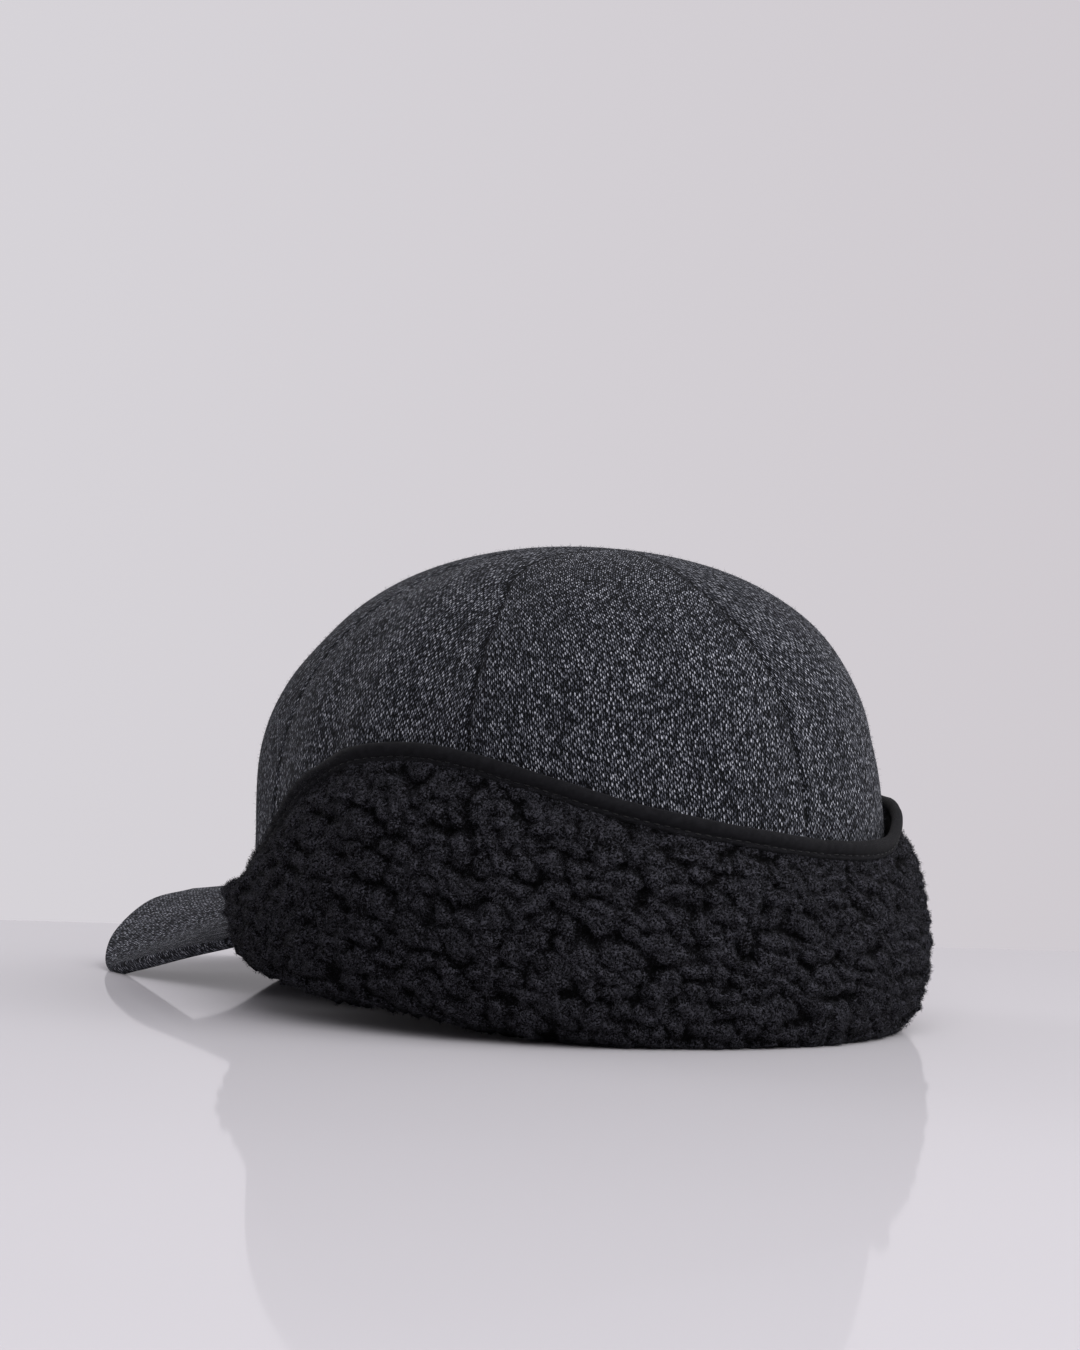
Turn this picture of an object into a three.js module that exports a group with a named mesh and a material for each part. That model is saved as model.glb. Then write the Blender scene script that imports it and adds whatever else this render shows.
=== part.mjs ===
// Hunting cap with a low sewn crown of six gores, a short arched visor and a turned-up ear and neck
// flap of curly pile. Millimetres, +Z up, the visor towards -Y, the wearer's left towards +X.
// Each piece is drawn level, as worn, and then laid down on its rear edge and the visor's two corners.
import * as THREE from "three";

// The cap as a whole
const CROWN_HALF_LENGTH = 105;
const CROWN_HALF_WIDTH = 89.5;
const CROWN_WIDEST_Z = 50;
const CROWN_TOP_Z = 136;
const CROWN_SHOULDER = 2.2;
const RIM_SHARE = 0.965;
const CLOTH = 2;
const GAP = 0.35;
const REST_TILT_DEG = 5.4;
const REST_PIVOT_Y = 95;

// The rim of the crown: it arches up over the forehead where the visor is sewn on
const RIM = [
  { turn: 0, z: 12 },
  { turn: 20, z: 10.5 },
  { turn: 35, z: 6.5 },
  { turn: 48, z: 3.5 },
  { turn: 62, z: 6 },
  { turn: 78, z: 8 },
  { turn: 130, z: 8 },
  { turn: 180, z: 8 },
];

// The slack crown slumps: its waist sits forward and its top falls back
const LEAN = [
  { z: 0, back: 0 },
  { z: 25, back: -1 },
  { z: 57, back: -3 },
  { z: 72, back: -3.4 },
  { z: 85, back: -2 },
  { z: 97, back: 0.8 },
  { z: 110, back: 3.6 },
  { z: 125, back: 7.6 },
  { z: 136, back: 11 },
];

// Seams between the gores, measured round the rim from the middle of the front
const SEAMS = [0, 65, 115, 180, 245, 295, 360];
// The slumped crown leans to the front left, so the seams swing that way, more the higher they are
const SWING = [
  { z: 0, swing: 0 },
  { z: 60, swing: 0 },
  { z: 72, swing: 0.8 },
  { z: 91, swing: 4.8 },
  { z: 107, swing: 8.5 },
  { z: 118, swing: 13.2 },
  { z: 127, swing: 21.5 },
  { z: 133, swing: 28 },
  { z: 136, swing: 30 },
];
const SWING_TOWARDS = 33;
const GORE_NAMES = [
  "crown_panel_front_left",
  "crown_panel_side_left",
  "crown_panel_rear_left",
  "crown_panel_rear_right",
  "crown_panel_side_right",
  "crown_panel_front_right",
];
// Each gore swells between its seams, from nothing at the rim to its full swell at the waist
const GORE_BULGE = 2.2;
const SEAM_PULL = 0.9;
const SWELL_FROM_Z = 8;
const SWELL_FULL_Z = 48;
// Near the tip the swell dies away with the crown's width
const SWELL_KEPT = 1.6;
// Where a fold fades out past its two ends, as a share of its length from the middle
const FOLD_FADE = 0.62;
const FOLD_OVERRUN = 0.4;
const GORE_COLUMNS = 9;
const GORE_ROWS_LOW = 3;
const GORE_ROWS_HIGH = 11;
// How far the gores run towards the tip, and the most of its width that a gore gives up to the seam gap
const APEX_SHARE = 0.985;
const GAP_MOST = 0.42;

// Soft valleys in the slack cloth: a line from one turn and height to another
const FOLDS = [
  { turn_low: 102, z_low: 66, turn_high: 98, z_high: 122, width: 9, depth: 2.6 },
  { turn_low: 86, z_low: 62, turn_high: 76, z_high: 104, width: 5, depth: 1.8 },
  { turn_low: 146, z_low: 60, turn_high: 150, z_high: 112, width: 8, depth: 1.2 },
  { turn_low: 30, z_low: 34, turn_high: 42, z_high: 106, width: 10, depth: 2.2 },
  { turn_low: 224, z_low: 62, turn_high: 216, z_high: 110, width: 8, depth: 1.5 },
  { turn_low: 268, z_low: 66, turn_high: 278, z_high: 116, width: 8, depth: 2.2 },
  { turn_low: 334, z_low: 30, turn_high: 322, z_high: 100, width: 9, depth: 1.8 },
];

// The turned-up flap, read by the turn from the front (the same on both sides)
const FLAP = [
  { turn: 34, top: 20, bottom: 12.5, pile: 7, stand_off: 0.2 },
  { turn: 42, top: 25, bottom: 12.5, pile: 12, stand_off: 0.3 },
  { turn: 48, top: 28.5, bottom: 11, pile: 13, stand_off: 0.4 },
  { turn: 55, top: 31.8, bottom: 0, pile: 13.5, stand_off: 0.5 },
  { turn: 66, top: 40.9, bottom: 0, pile: 14, stand_off: 0.6 },
  { turn: 74, top: 51.3, bottom: 0.2, pile: 14.5, stand_off: 0.7 },
  { turn: 82, top: 63.8, bottom: 1, pile: 15, stand_off: 0.8 },
  { turn: 92, top: 73.7, bottom: 1.8, pile: 16, stand_off: 0.8 },
  { turn: 104, top: 78, bottom: 2.2, pile: 17, stand_off: 0.8 },
  { turn: 115, top: 78, bottom: 1.6, pile: 18, stand_off: 0.8 },
  { turn: 128, top: 75, bottom: 0.8, pile: 18.5, stand_off: 1.2 },
  { turn: 145, top: 69.1, bottom: 0, pile: 18.5, stand_off: 1.8 },
  { turn: 165, top: 64.6, bottom: 0, pile: 18, stand_off: 3.5 },
  { turn: 180, top: 61.5, bottom: 0, pile: 18, stand_off: 4 },
];
const FLAP_END = 34;
// How much lower the flap's edge sags on the right than on the left
const RIGHT_SAG = [
  { turn: 180, sag: 0 },
  { turn: 192, sag: 3.4 },
  { turn: 203, sag: 5.1 },
  { turn: 215, sag: 2.8 },
  { turn: 222, sag: 3.6 },
  { turn: 234, sag: 8.9 },
  { turn: 243, sag: 10.5 },
  { turn: 262, sag: 5 },
  { turn: 282, sag: 0 },
  { turn: 360, sag: 0 },
];
const FLAP_STEPS = 108;
// How thick the pile is up the flap, as a share of its thickest: full at the roll behind, higher up in front
const PILE_PROFILE = [
  { up: 0, behind: 0.7, front: 0.42 },
  { up: 0.07, behind: 0.92, front: 0.56 },
  { up: 0.2, behind: 1, front: 0.76 },
  { up: 0.38, behind: 0.95, front: 0.94 },
  { up: 0.56, behind: 0.8, front: 1 },
  { up: 0.74, behind: 0.62, front: 0.92 },
  { up: 0.88, behind: 0.44, front: 0.72 },
  { up: 1, behind: 0.24, front: 0.4 },
];
const PILE_FRONT_TURN = 50;
const PILE_BEHIND_TURN = 84;
const PILE_THINNEST = 4.4;
const LOCK_SPACING = 13;
const STEP_LENGTH = 5;
const LOCK_HEIGHT = 2.3;
const LOCK_JITTER = 0.7;
const LOCK_RADIUS = 0.75;
const FULL_LOCKS_FROM = 8;
// Where the outer face has a row of points, up the flap, and how strongly the locks show in it
const PILE_ROWS = [
  { up: 0, locks: 0.3 },
  { up: 0.07, locks: 1 },
  { up: 0.17, locks: 1 },
  { up: 0.28, locks: 1 },
  { up: 0.4, locks: 1 },
  { up: 0.52, locks: 1 },
  { up: 0.64, locks: 1 },
  { up: 0.76, locks: 1 },
  { up: 0.88, locks: 0.8 },
  { up: 0.97, locks: 0.2 },
];
const INNER_ROWS = 6;
const SLACK = 0.3;
const SLACK_POWER = 1.5;
// The hem: the pile that rolls under the crown's rim and a little way up inside it
const HEM_REACH = 6.5;
const HEM_RISE = 4;
const HEM_STARTS = 57;
const HEM_TUCKS_OVER = 7;
const HEM_RISES_OVER = 8;

// The rolled binding along the flap's upper edge
const BINDING_HALF_HEIGHT = 2.2;
const BINDING_HALF_THICKNESS = 1.8;
const BINDING_SIDES = 7;

// The visor: its outer edge from the middle of the front to the root's corner
const VISOR_EDGE = [
  { along: 0, x: 0, y: -185, z: -1.4 },
  { along: 0.2, x: 19, y: -184, z: -4.9 },
  { along: 0.4, x: 37, y: -178.5, z: -14.6 },
  { along: 0.55, x: 47.5, y: -167, z: -22 },
  { along: 0.7, x: 54, y: -147, z: -17.5 },
  { along: 0.85, x: 60, y: -116, z: -8 },
  { along: 1, x: 64, y: -86, z: 0.5 },
];
const VISOR_ROOT_TURN = 46;
const VISOR_ROOT_ABOVE_RIM = 4.5;
const VISOR_THICKNESS = 4.4;
const VISOR_COLUMNS = 28;
const VISOR_ROWS = 6;

const RAD = Math.PI / 180;

// A smooth curve through a table's rows, read from one named column by another
function readTable(rows, by, column, at) {
  let i = 0;
  while (i < rows.length - 2 && at > rows[i + 1][by]) i += 1;
  const [p0, p1, p2, p3] = [rows[Math.max(i - 1, 0)], rows[i], rows[i + 1], rows[Math.min(i + 2, rows.length - 1)]];
  const span = p2[by] - p1[by];
  const t = Math.min(Math.max((at - p1[by]) / span, 0), 1);
  const slope = (a, b) => (b[by] === a[by] ? 0 : ((b[column] - a[column]) / (b[by] - a[by])) * span);
  const m1 = slope(p0, p2);
  const m2 = slope(p1, p3);
  const t2 = t * t;
  const t3 = t2 * t;
  return (
    (2 * t3 - 3 * t2 + 1) * p1[column] + (t3 - 2 * t2 + t) * m1 + (3 * t2 - 2 * t3) * p2[column] + (t3 - t2) * m2
  );
}

// The turn from the front on either side, 0 to 180
function sideTurn(turn) {
  const t = ((turn % 360) + 360) % 360;
  return t > 180 ? 360 - t : t;
}

// The crown's width at a height, as a share of its widest
function crownShare(z) {
  if (z <= CROWN_WIDEST_Z) {
    const low = (CROWN_WIDEST_Z - z) / CROWN_WIDEST_Z;
    return 1 - (1 - RIM_SHARE) * low * low;
  }
  const up = Math.min((z - CROWN_WIDEST_Z) / (CROWN_TOP_Z - CROWN_WIDEST_Z), 1);
  return Math.pow(Math.max(1 - Math.pow(up, CROWN_SHOULDER), 0), 1 / CROWN_SHOULDER);
}

// The turn that a line sewn up the crown has swung round to at a height
function swungTurn(turn, z) {
  return turn - readTable(SWING, "z", "swing", z) * Math.sin((turn - SWING_TOWARDS) * RAD);
}

// How far the slack cloth swells out, or sinks into a fold, at a turn and height
function crownSwell(turn, z) {
  const t = ((turn % 360) + 360) % 360;
  let k = 0;
  while (k < SEAMS.length - 2 && t > SEAMS[k + 1]) k += 1;
  const u = (t - SEAMS[k]) / (SEAMS[k + 1] - SEAMS[k]);
  const high = Math.min(Math.max((z - SWELL_FROM_Z) / (SWELL_FULL_Z - SWELL_FROM_Z), 0), 1);
  let swell = (GORE_BULGE * 4 * u * (1 - u) - SEAM_PULL) * high;
  const swung = swungTurn(t, z);
  for (const fold of FOLDS) {
    const share = (z - fold.z_low) / (fold.z_high - fold.z_low);
    const along = Math.min(Math.max(share, -FOLD_OVERRUN), 1 + FOLD_OVERRUN);
    const centre = fold.turn_low + (fold.turn_high - fold.turn_low) * along;
    const across = (swung - centre) / fold.width;
    const end = (along - 0.5) / FOLD_FADE;
    swell -= fold.depth * Math.exp(-across * across) * Math.exp(-end * end * end * end);
  }
  return swell;
}

// A point on the crown's outer face, pushed out level by `out`
function crownPoint(turn, z, share, out) {
  const a = swungTurn(turn, z) * RAD;
  const direction = new THREE.Vector3(CROWN_HALF_LENGTH * Math.sin(a), -CROWN_HALF_WIDTH * Math.cos(a), 0).normalize();
  const reach = crownSwell(turn, z) * Math.min(share * SWELL_KEPT, 1) + out;
  return new THREE.Vector3(
    CROWN_HALF_WIDTH * share * Math.sin(a) + direction.x * reach,
    -CROWN_HALF_LENGTH * share * Math.cos(a) + direction.y * reach + readTable(LEAN, "z", "back", z),
    z,
  );
}

// The cap lies back on its rear edge; cloth that would sink into the table is pressed flat on it
function layDown(point) {
  const tilt = REST_TILT_DEG * RAD;
  const y = point.y - REST_PIVOT_Y;
  return new THREE.Vector3(
    point.x,
    REST_PIVOT_Y + y * Math.cos(tilt) + point.z * Math.sin(tilt),
    Math.max(point.z * Math.cos(tilt) - y * Math.sin(tilt), 0),
  );
}

// A closed mesh from rings of points: each ring is a closed loop, the first and last are capped
function meshFromRings(name, rings, material) {
  const count = rings[0].length;
  const points = rings.flat().map(layDown);
  const index = [];
  for (let i = 0; i + 1 < rings.length; i += 1) {
    for (let j = 0; j < count; j += 1) {
      const a = i * count + j;
      const b = i * count + ((j + 1) % count);
      index.push(a, b, b + count, a, b + count, a + count);
    }
  }
  for (const [start, flip] of [
    [0, true],
    [(rings.length - 1) * count, false],
  ]) {
    const centre = new THREE.Vector3();
    for (let j = 0; j < count; j += 1) centre.add(points[start + j]);
    points.push(centre.divideScalar(count));
    const c = points.length - 1;
    for (let j = 0; j < count; j += 1) {
      const a = start + j;
      const b = start + ((j + 1) % count);
      index.push(...(flip ? [c, b, a] : [c, a, b]));
    }
  }
  return solidMesh(name, points, index, material);
}

// A closed mesh from an outer and an inner sheet of the same columns and rows, joined round the rim
function meshFromSheets(name, outer, inner, rimOut, material) {
  const columns = outer.length;
  const rows = outer[0].length;
  const points = [...outer.flat(), ...inner.flat()].map(layDown);
  const at = (layer, i, j) => layer * columns * rows + i * rows + j;
  const index = [];
  for (let i = 0; i + 1 < columns; i += 1) {
    for (let j = 0; j + 1 < rows; j += 1) {
      index.push(at(0, i, j), at(0, i + 1, j), at(0, i + 1, j + 1), at(0, i, j), at(0, i + 1, j + 1), at(0, i, j + 1));
      index.push(at(1, i, j), at(1, i + 1, j + 1), at(1, i + 1, j), at(1, i, j), at(1, i, j + 1), at(1, i + 1, j + 1));
    }
  }
  const rim = [];
  for (let i = 0; i < columns - 1; i += 1) rim.push([i, 0]);
  for (let j = 0; j < rows - 1; j += 1) rim.push([columns - 1, j]);
  for (let i = columns - 1; i > 0; i -= 1) rim.push([i, rows - 1]);
  for (let j = rows - 1; j > 0; j -= 1) rim.push([0, j]);
  const middle = rim.map(([i, j]) => {
    const centre = outer[i][j].clone().add(inner[i][j]).multiplyScalar(0.5);
    points.push(layDown(rimOut ? centre.add(rimOut(i, j)) : centre));
    return points.length - 1;
  });
  rim.forEach(([i, j], k) => {
    const next = (k + 1) % rim.length;
    const [i2, j2] = rim[next];
    const [a, b, c, d] = [at(0, i, j), at(0, i2, j2), at(1, i, j), at(1, i2, j2)];
    index.push(b, a, middle[k], b, middle[k], middle[next]);
    index.push(middle[next], middle[k], c, middle[next], c, d);
  });
  return solidMesh(name, points, index, material);
}

function solidMesh(name, points, index, material) {
  let volume = 0;
  for (let i = 0; i < index.length; i += 3) {
    const [a, b, c] = [points[index[i]], points[index[i + 1]], points[index[i + 2]]];
    volume += a.dot(b.clone().cross(c));
  }
  if (volume < 0) index.reverse();
  const geometry = new THREE.BufferGeometry();
  geometry.setAttribute("position", new THREE.Float32BufferAttribute(points.flatMap((p) => [p.x, p.y, p.z]), 3));
  geometry.setIndex(index);
  geometry.computeVertexNormals();
  const mesh = new THREE.Mesh(geometry, material);
  mesh.name = name;
  return mesh;
}

const wool = new THREE.MeshStandardMaterial({ color: 0x3b3b42, roughness: 0.95, metalness: 0 });
const pile = new THREE.MeshStandardMaterial({ color: 0x17161a, roughness: 1, metalness: 0 });
const bindingCloth = new THREE.MeshStandardMaterial({ color: 0x29292d, roughness: 0.8, metalness: 0 });

const group = new THREE.Group();
group.name = "hunting_cap";

// Crown: each gore runs from the rim to the crown's tip, two millimetres of wool thick
function goreHeights(turn) {
  const low = readTable(RIM, "turn", "z", sideTurn(turn));
  const heights = [];
  for (let j = 0; j < GORE_ROWS_LOW; j += 1) heights.push(low + ((CROWN_WIDEST_Z - low) * j) / GORE_ROWS_LOW);
  for (let j = 0; j <= GORE_ROWS_HIGH; j += 1) {
    const angle = (APEX_SHARE * Math.PI * j) / (2 * GORE_ROWS_HIGH);
    heights.push(CROWN_WIDEST_Z + (CROWN_TOP_Z - CROWN_WIDEST_Z) * Math.pow(Math.sin(angle), 2 / CROWN_SHOULDER));
  }
  return heights;
}

function gore(name, from, to) {
  const rows = goreHeights(0).length;
  const outer = [];
  const inner = [];
  for (let i = 0; i <= GORE_COLUMNS; i += 1) {
    outer.push([]);
    inner.push([]);
    for (let j = 0; j < rows; j += 1) {
      const midTurn = from + ((to - from) * i) / GORE_COLUMNS;
      const z = goreHeights(midTurn)[j];
      const share = crownShare(z);
      const reach = (share * (CROWN_HALF_LENGTH + CROWN_HALF_WIDTH)) / 2;
      const inset = Math.min(GAP / 2 / (reach * RAD), (to - from) * GAP_MOST);
      const turn = from + inset + ((to - from - 2 * inset) * i) / GORE_COLUMNS;
      const point = crownPoint(turn, z, share, 0);
      const down = Math.max((z - CROWN_WIDEST_Z) / (CROWN_TOP_Z - CROWN_WIDEST_Z), 0);
      const a = swungTurn(turn, z) * RAD;
      const level = new THREE.Vector3(-Math.sin(a), Math.cos(a), 0);
      const normal = crownNormal(share, down, level);
      outer[i].push(point);
      inner[i].push(point.clone().addScaledVector(normal, CLOTH));
    }
  }
  return meshFromSheets(name, outer, inner, null, wool);
}

// The direction from the outer face straight into the cloth
function crownNormal(share, down, level) {
  const slope = Math.pow(down, CROWN_SHOULDER - 1);
  const lean = slope / (slope + Math.pow(Math.max(share, 0.001), CROWN_SHOULDER - 1) * 0.9);
  const angle = (lean * Math.PI) / 2;
  return level
    .clone()
    .multiplyScalar(Math.cos(angle))
    .add(new THREE.Vector3(0, 0, -Math.sin(angle)));
}

GORE_NAMES.forEach((name, k) => group.add(gore(name, SEAMS[k], SEAMS[k + 1])));

// Ear flap: curly pile folded under the rim and turned up against the crown
function scatter(a, b) {
  const s = Math.sin(a * 127.1 + b * 311.7) * 43758.5453;
  return s - Math.floor(s);
}

// Rounded tufts in staggered rows, higher in the middle of each
function lockHeight(along, up) {
  const row = Math.floor(up / LOCK_SPACING);
  let best = 0;
  for (let r = row - 1; r <= row + 1; r += 1) {
    const column = Math.floor(along / LOCK_SPACING - r * 0.5);
    for (let c = column - 1; c <= column + 1; c += 1) {
      const x = (c + 0.5 + r * 0.5 + (scatter(c, r) - 0.5) * LOCK_JITTER) * LOCK_SPACING;
      const y = (r + 0.5 + (scatter(r + 9, c) - 0.5) * LOCK_JITTER) * LOCK_SPACING;
      const distance = Math.hypot(along - x, up - y) / (LOCK_SPACING * LOCK_RADIUS);
      best = Math.max(best, 1 - distance * distance);
    }
  }
  return best;
}

function flapRow(turn) {
  const t = sideTurn(turn);
  const row = {};
  for (const column of ["top", "bottom", "pile", "stand_off"]) row[column] = readTable(FLAP, "turn", column, t);
  row.top -= readTable(RIGHT_SAG, "turn", "sag", turn);
  return row;
}

// The binding's middle line, which the pile's upper edge follows
function bindingCentre(turn) {
  const row = flapRow(turn);
  const z = row.top - BINDING_HALF_HEIGHT;
  return crownPoint(turn, z, crownShare(z), GAP + row.stand_off + BINDING_HALF_THICKNESS);
}

function bindingFrame(turn) {
  const before = bindingCentre(turn - 0.5);
  const after = bindingCentre(turn + 0.5);
  const along = after.clone().sub(before).normalize();
  const a = turn * RAD;
  const out = new THREE.Vector3(CROWN_HALF_LENGTH * Math.sin(a), -CROWN_HALF_WIDTH * Math.cos(a), 0).normalize();
  const up = out.clone().cross(along).normalize();
  if (up.z < 0) up.negate();
  return { centre: bindingCentre(turn), along, out: along.clone().cross(up).normalize(), up };
}

// How far the flap's inner face stands off the crown, from the rim up to the binding
function standOff(row, up) {
  return GAP + SLACK * Math.sin(Math.PI * up) + row.stand_off * Math.pow(up, SLACK_POWER);
}

function flapSection(turn, step) {
  const row = flapRow(turn);
  const frame = bindingFrame(turn);
  const level = Math.max(Math.abs(frame.up.z), 0.4);
  const top = row.top - BINDING_HALF_HEIGHT - (BINDING_HALF_HEIGHT + GAP * 1.3) / level;
  const rim = readTable(RIM, "turn", "z", sideTurn(turn));
  const reach = Math.min(Math.max((sideTurn(turn) - HEM_STARTS) / HEM_TUCKS_OVER, 0), 1);
  const rise = Math.min(Math.max((sideTurn(turn) - HEM_STARTS - HEM_TUCKS_OVER) / HEM_RISES_OVER, 0), 1);
  const low = row.bottom + 1.2 + (rim - GAP - row.bottom - 1.2) * reach;
  const along = step * STEP_LENGTH;
  const toBack = (sideTurn(turn) - PILE_FRONT_TURN) / (PILE_BEHIND_TURN - PILE_FRONT_TURN);
  const behind = Math.min(Math.max(toBack, 0), 1);
  const loop = [];
  const outerAt = (up, locks) => {
    const z = row.bottom + (top - row.bottom) * up;
    const share = behind * readTable(PILE_PROFILE, "up", "behind", up) + (1 - behind) * readTable(PILE_PROFILE, "up", "front", up);
    const thick = Math.max(row.pile * share, PILE_THINNEST);
    const stand = standOff(row, up);
    const lock = LOCK_HEIGHT * lockHeight(along, z) * Math.min(thick / FULL_LOCKS_FROM, 1) * locks;
    return crownPoint(turn, z, crownShare(z), 0).add(
      crownPoint(turn, z, 0, stand + thick - LOCK_HEIGHT * locks + lock).sub(crownPoint(turn, z, 0, 0)),
    );
  };
  for (const place of PILE_ROWS) loop.push(outerAt(place.up, place.locks));
  const innerAt = (z) => {
    const up = Math.max((z - row.bottom) / (top - row.bottom), 0);
    return crownPoint(turn, z, crownShare(z), standOff(row, up));
  };
  loop.push(outerAt(1, 0).lerp(innerAt(top), 0.3));
  for (let k = INNER_ROWS; k >= 0; k -= 1) loop.push(innerAt(low + ((top - low) * k) / INNER_ROWS));
  const hem = (down, tuckedZ, free, tucked) => {
    const z = (low + (row.bottom - low) * down) * (1 - reach) + tuckedZ * reach;
    loop.push(crownPoint(turn, z, crownShare(z), free + (tucked - free) * reach));
  };
  hem(0.2, low, GAP + 0.2, -CLOTH - GAP * 2);
  hem(0.35, low + HEM_RISE * rise, GAP + 0.4, -CLOTH - GAP * 2.3);
  hem(0.5, low + HEM_RISE * rise, GAP + 0.6, -HEM_REACH);
  hem(0.65, low - 1, GAP + 0.8, -HEM_REACH - 1);
  hem(0.85, row.bottom + 1.5, GAP + 1.1, -HEM_REACH);
  hem(1, row.bottom, GAP + 1.6, 3 - HEM_REACH);
  return loop;
}

const flapRings = [];
for (let i = 0; i <= FLAP_STEPS; i += 1) {
  flapRings.push(flapSection(FLAP_END + ((360 - 2 * FLAP_END) * i) / FLAP_STEPS, i));
}
group.add(meshFromRings("ear_flap_fleece", flapRings, pile));

// Binding: a rolled tube on the flap's upper edge
const bindingRings = [];
for (let i = 0; i <= FLAP_STEPS; i += 1) {
  const turn = FLAP_END + ((360 - 2 * FLAP_END) * i) / FLAP_STEPS;
  const frame = bindingFrame(turn);
  const ring = [];
  for (let k = 0; k < BINDING_SIDES; k += 1) {
    const angle = (2 * Math.PI * (k + 0.5)) / BINDING_SIDES;
    ring.push(
      frame.centre
        .clone()
        .addScaledVector(frame.out, Math.cos(angle) * BINDING_HALF_THICKNESS)
        .addScaledVector(frame.up, Math.sin(angle) * BINDING_HALF_HEIGHT),
    );
  }
  bindingRings.push(ring);
}
group.add(meshFromRings("flap_binding", bindingRings, bindingCloth));

// Visor: straight lines from the crown's front rim out to the arched edge, one board thick
const visorTop = [];
const visorUnder = [];
const visorOutward = [];
for (let i = 0; i <= VISOR_COLUMNS; i += 1) {
  const across = (2 * i) / VISOR_COLUMNS - 1;
  const side = Math.sign(across) || 1;
  const along = Math.abs(across);
  const turn = VISOR_ROOT_TURN * Math.pow(along, 0.8) * side;
  const rootZ = readTable(RIM, "turn", "z", Math.abs(turn)) + VISOR_ROOT_ABOVE_RIM;
  const root = crownPoint(turn, rootZ, crownShare(rootZ), GAP);
  const edge = new THREE.Vector3(
    side * readTable(VISOR_EDGE, "along", "x", along),
    readTable(VISOR_EDGE, "along", "y", along),
    readTable(VISOR_EDGE, "along", "z", along),
  );
  visorTop.push([]);
  for (let j = 0; j <= VISOR_ROWS; j += 1) visorTop[i].push(root.clone().lerp(edge, j / VISOR_ROWS));
  visorOutward.push(edge.clone().sub(root).normalize());
}
for (let i = 0; i <= VISOR_COLUMNS; i += 1) {
  visorUnder.push([]);
  for (let j = 0; j <= VISOR_ROWS; j += 1) {
    const left = visorTop[Math.max(i - 1, 0)][j];
    const right = visorTop[Math.min(i + 1, VISOR_COLUMNS)][j];
    const near = visorTop[i][Math.max(j - 1, 0)];
    const far = visorTop[i][Math.min(j + 1, VISOR_ROWS)];
    const normal = right.clone().sub(left).cross(far.clone().sub(near)).normalize();
    if (normal.z > 0) normal.negate();
    if (j === 0) normal.set(0, 0, -1);
    visorUnder[i].push(visorTop[i][j].clone().addScaledVector(normal, VISOR_THICKNESS));
  }
}
group.add(
  meshFromSheets(
    "visor",
    visorTop,
    visorUnder,
    (i, j) => visorOutward[i].clone().multiplyScalar(j === VISOR_ROWS ? VISOR_THICKNESS * 0.35 : 0),
    wool,
  ),
);

// The origin is under the middle of the whole cap, on the table
const box = new THREE.Box3().setFromObject(group);
group.children.forEach((mesh) =>
  mesh.geometry.translate(-(box.min.x + box.max.x) / 2, -(box.min.y + box.max.y) / 2, -box.min.z),
);

export default group;
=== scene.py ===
# Hunting cap: a low sewn crown of heather wool, a short arched visor and a turned-up flap of curly pile.
import math

import bpy
import numpy as np
from mathutils import Matrix, Vector


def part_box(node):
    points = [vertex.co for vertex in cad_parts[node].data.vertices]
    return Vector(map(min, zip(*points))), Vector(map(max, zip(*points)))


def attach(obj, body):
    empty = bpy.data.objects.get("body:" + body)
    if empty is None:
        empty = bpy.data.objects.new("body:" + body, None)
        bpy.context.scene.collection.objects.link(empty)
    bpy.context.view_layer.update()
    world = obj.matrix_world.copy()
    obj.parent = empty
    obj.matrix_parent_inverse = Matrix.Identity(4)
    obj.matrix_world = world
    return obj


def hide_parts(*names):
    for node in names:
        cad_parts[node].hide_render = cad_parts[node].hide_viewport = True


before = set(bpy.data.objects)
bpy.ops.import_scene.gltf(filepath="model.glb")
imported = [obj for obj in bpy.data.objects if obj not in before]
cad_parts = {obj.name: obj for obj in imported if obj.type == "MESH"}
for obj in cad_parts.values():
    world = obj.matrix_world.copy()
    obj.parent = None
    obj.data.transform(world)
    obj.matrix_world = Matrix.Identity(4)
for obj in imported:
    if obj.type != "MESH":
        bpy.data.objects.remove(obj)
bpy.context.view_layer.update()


# Crown
# Six gores of soft wool cloth sewn edge to edge into one low, unstructured crown, with no button. The seams
# are pressed open, so each shows as a fine pulled-in line with painted shadow along it, and the slack cloth
# falls in soft valleys. Sizes are in millimetres as the cap is worn, and turns are in degrees from the front
# towards its left.
MM = 0.001
CROWN_HALF_LENGTH = 105
CROWN_HALF_WIDTH = 89.5
CROWN_WIDEST_Z = 50
CROWN_TOP_Z = 136
CROWN_SHOULDER = 2.2
RIM_SHARE = 0.965
CLOTH = 1.9
GAP = 0.35
REST_TILT = math.radians(5.4)
REST_PIVOT_Y = 95


def named_rows(columns, *rows):
    """A short table: the names of its columns, then one row of values for each place."""
    return [dict(zip(columns.split(), row)) for row in rows]


RIM = named_rows(
    "turn z",
    (0, 12),
    (20, 10.5),
    (35, 6.5),
    (48, 3.5),
    (62, 6),
    (78, 8),
    (130, 8),
    (180, 8),
)
LEAN = named_rows(
    "z back",
    (0, 0),
    (25, -1),
    (57, -3),
    (72, -3.4),
    (85, -2),
    (97, 0.8),
    (110, 3.6),
    (125, 7.6),
    (136, 11),
)
FOLDS = named_rows(
    "turn_low z_low turn_high z_high width depth",
    (102, 66, 98, 122, 9, 2.6),
    (86, 62, 76, 104, 5, 1.8),
    (146, 60, 150, 112, 8, 1.2),
    (30, 34, 42, 106, 10, 2.2),
    (224, 62, 216, 110, 8, 1.5),
    (268, 66, 278, 116, 8, 2.2),
    (334, 30, 322, 100, 9, 1.8),
)
FOLD_FADE = 0.62
FOLD_OVERRUN = 0.4
SEAMS = [0, 65, 115, 180, 245, 295, 360]
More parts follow.
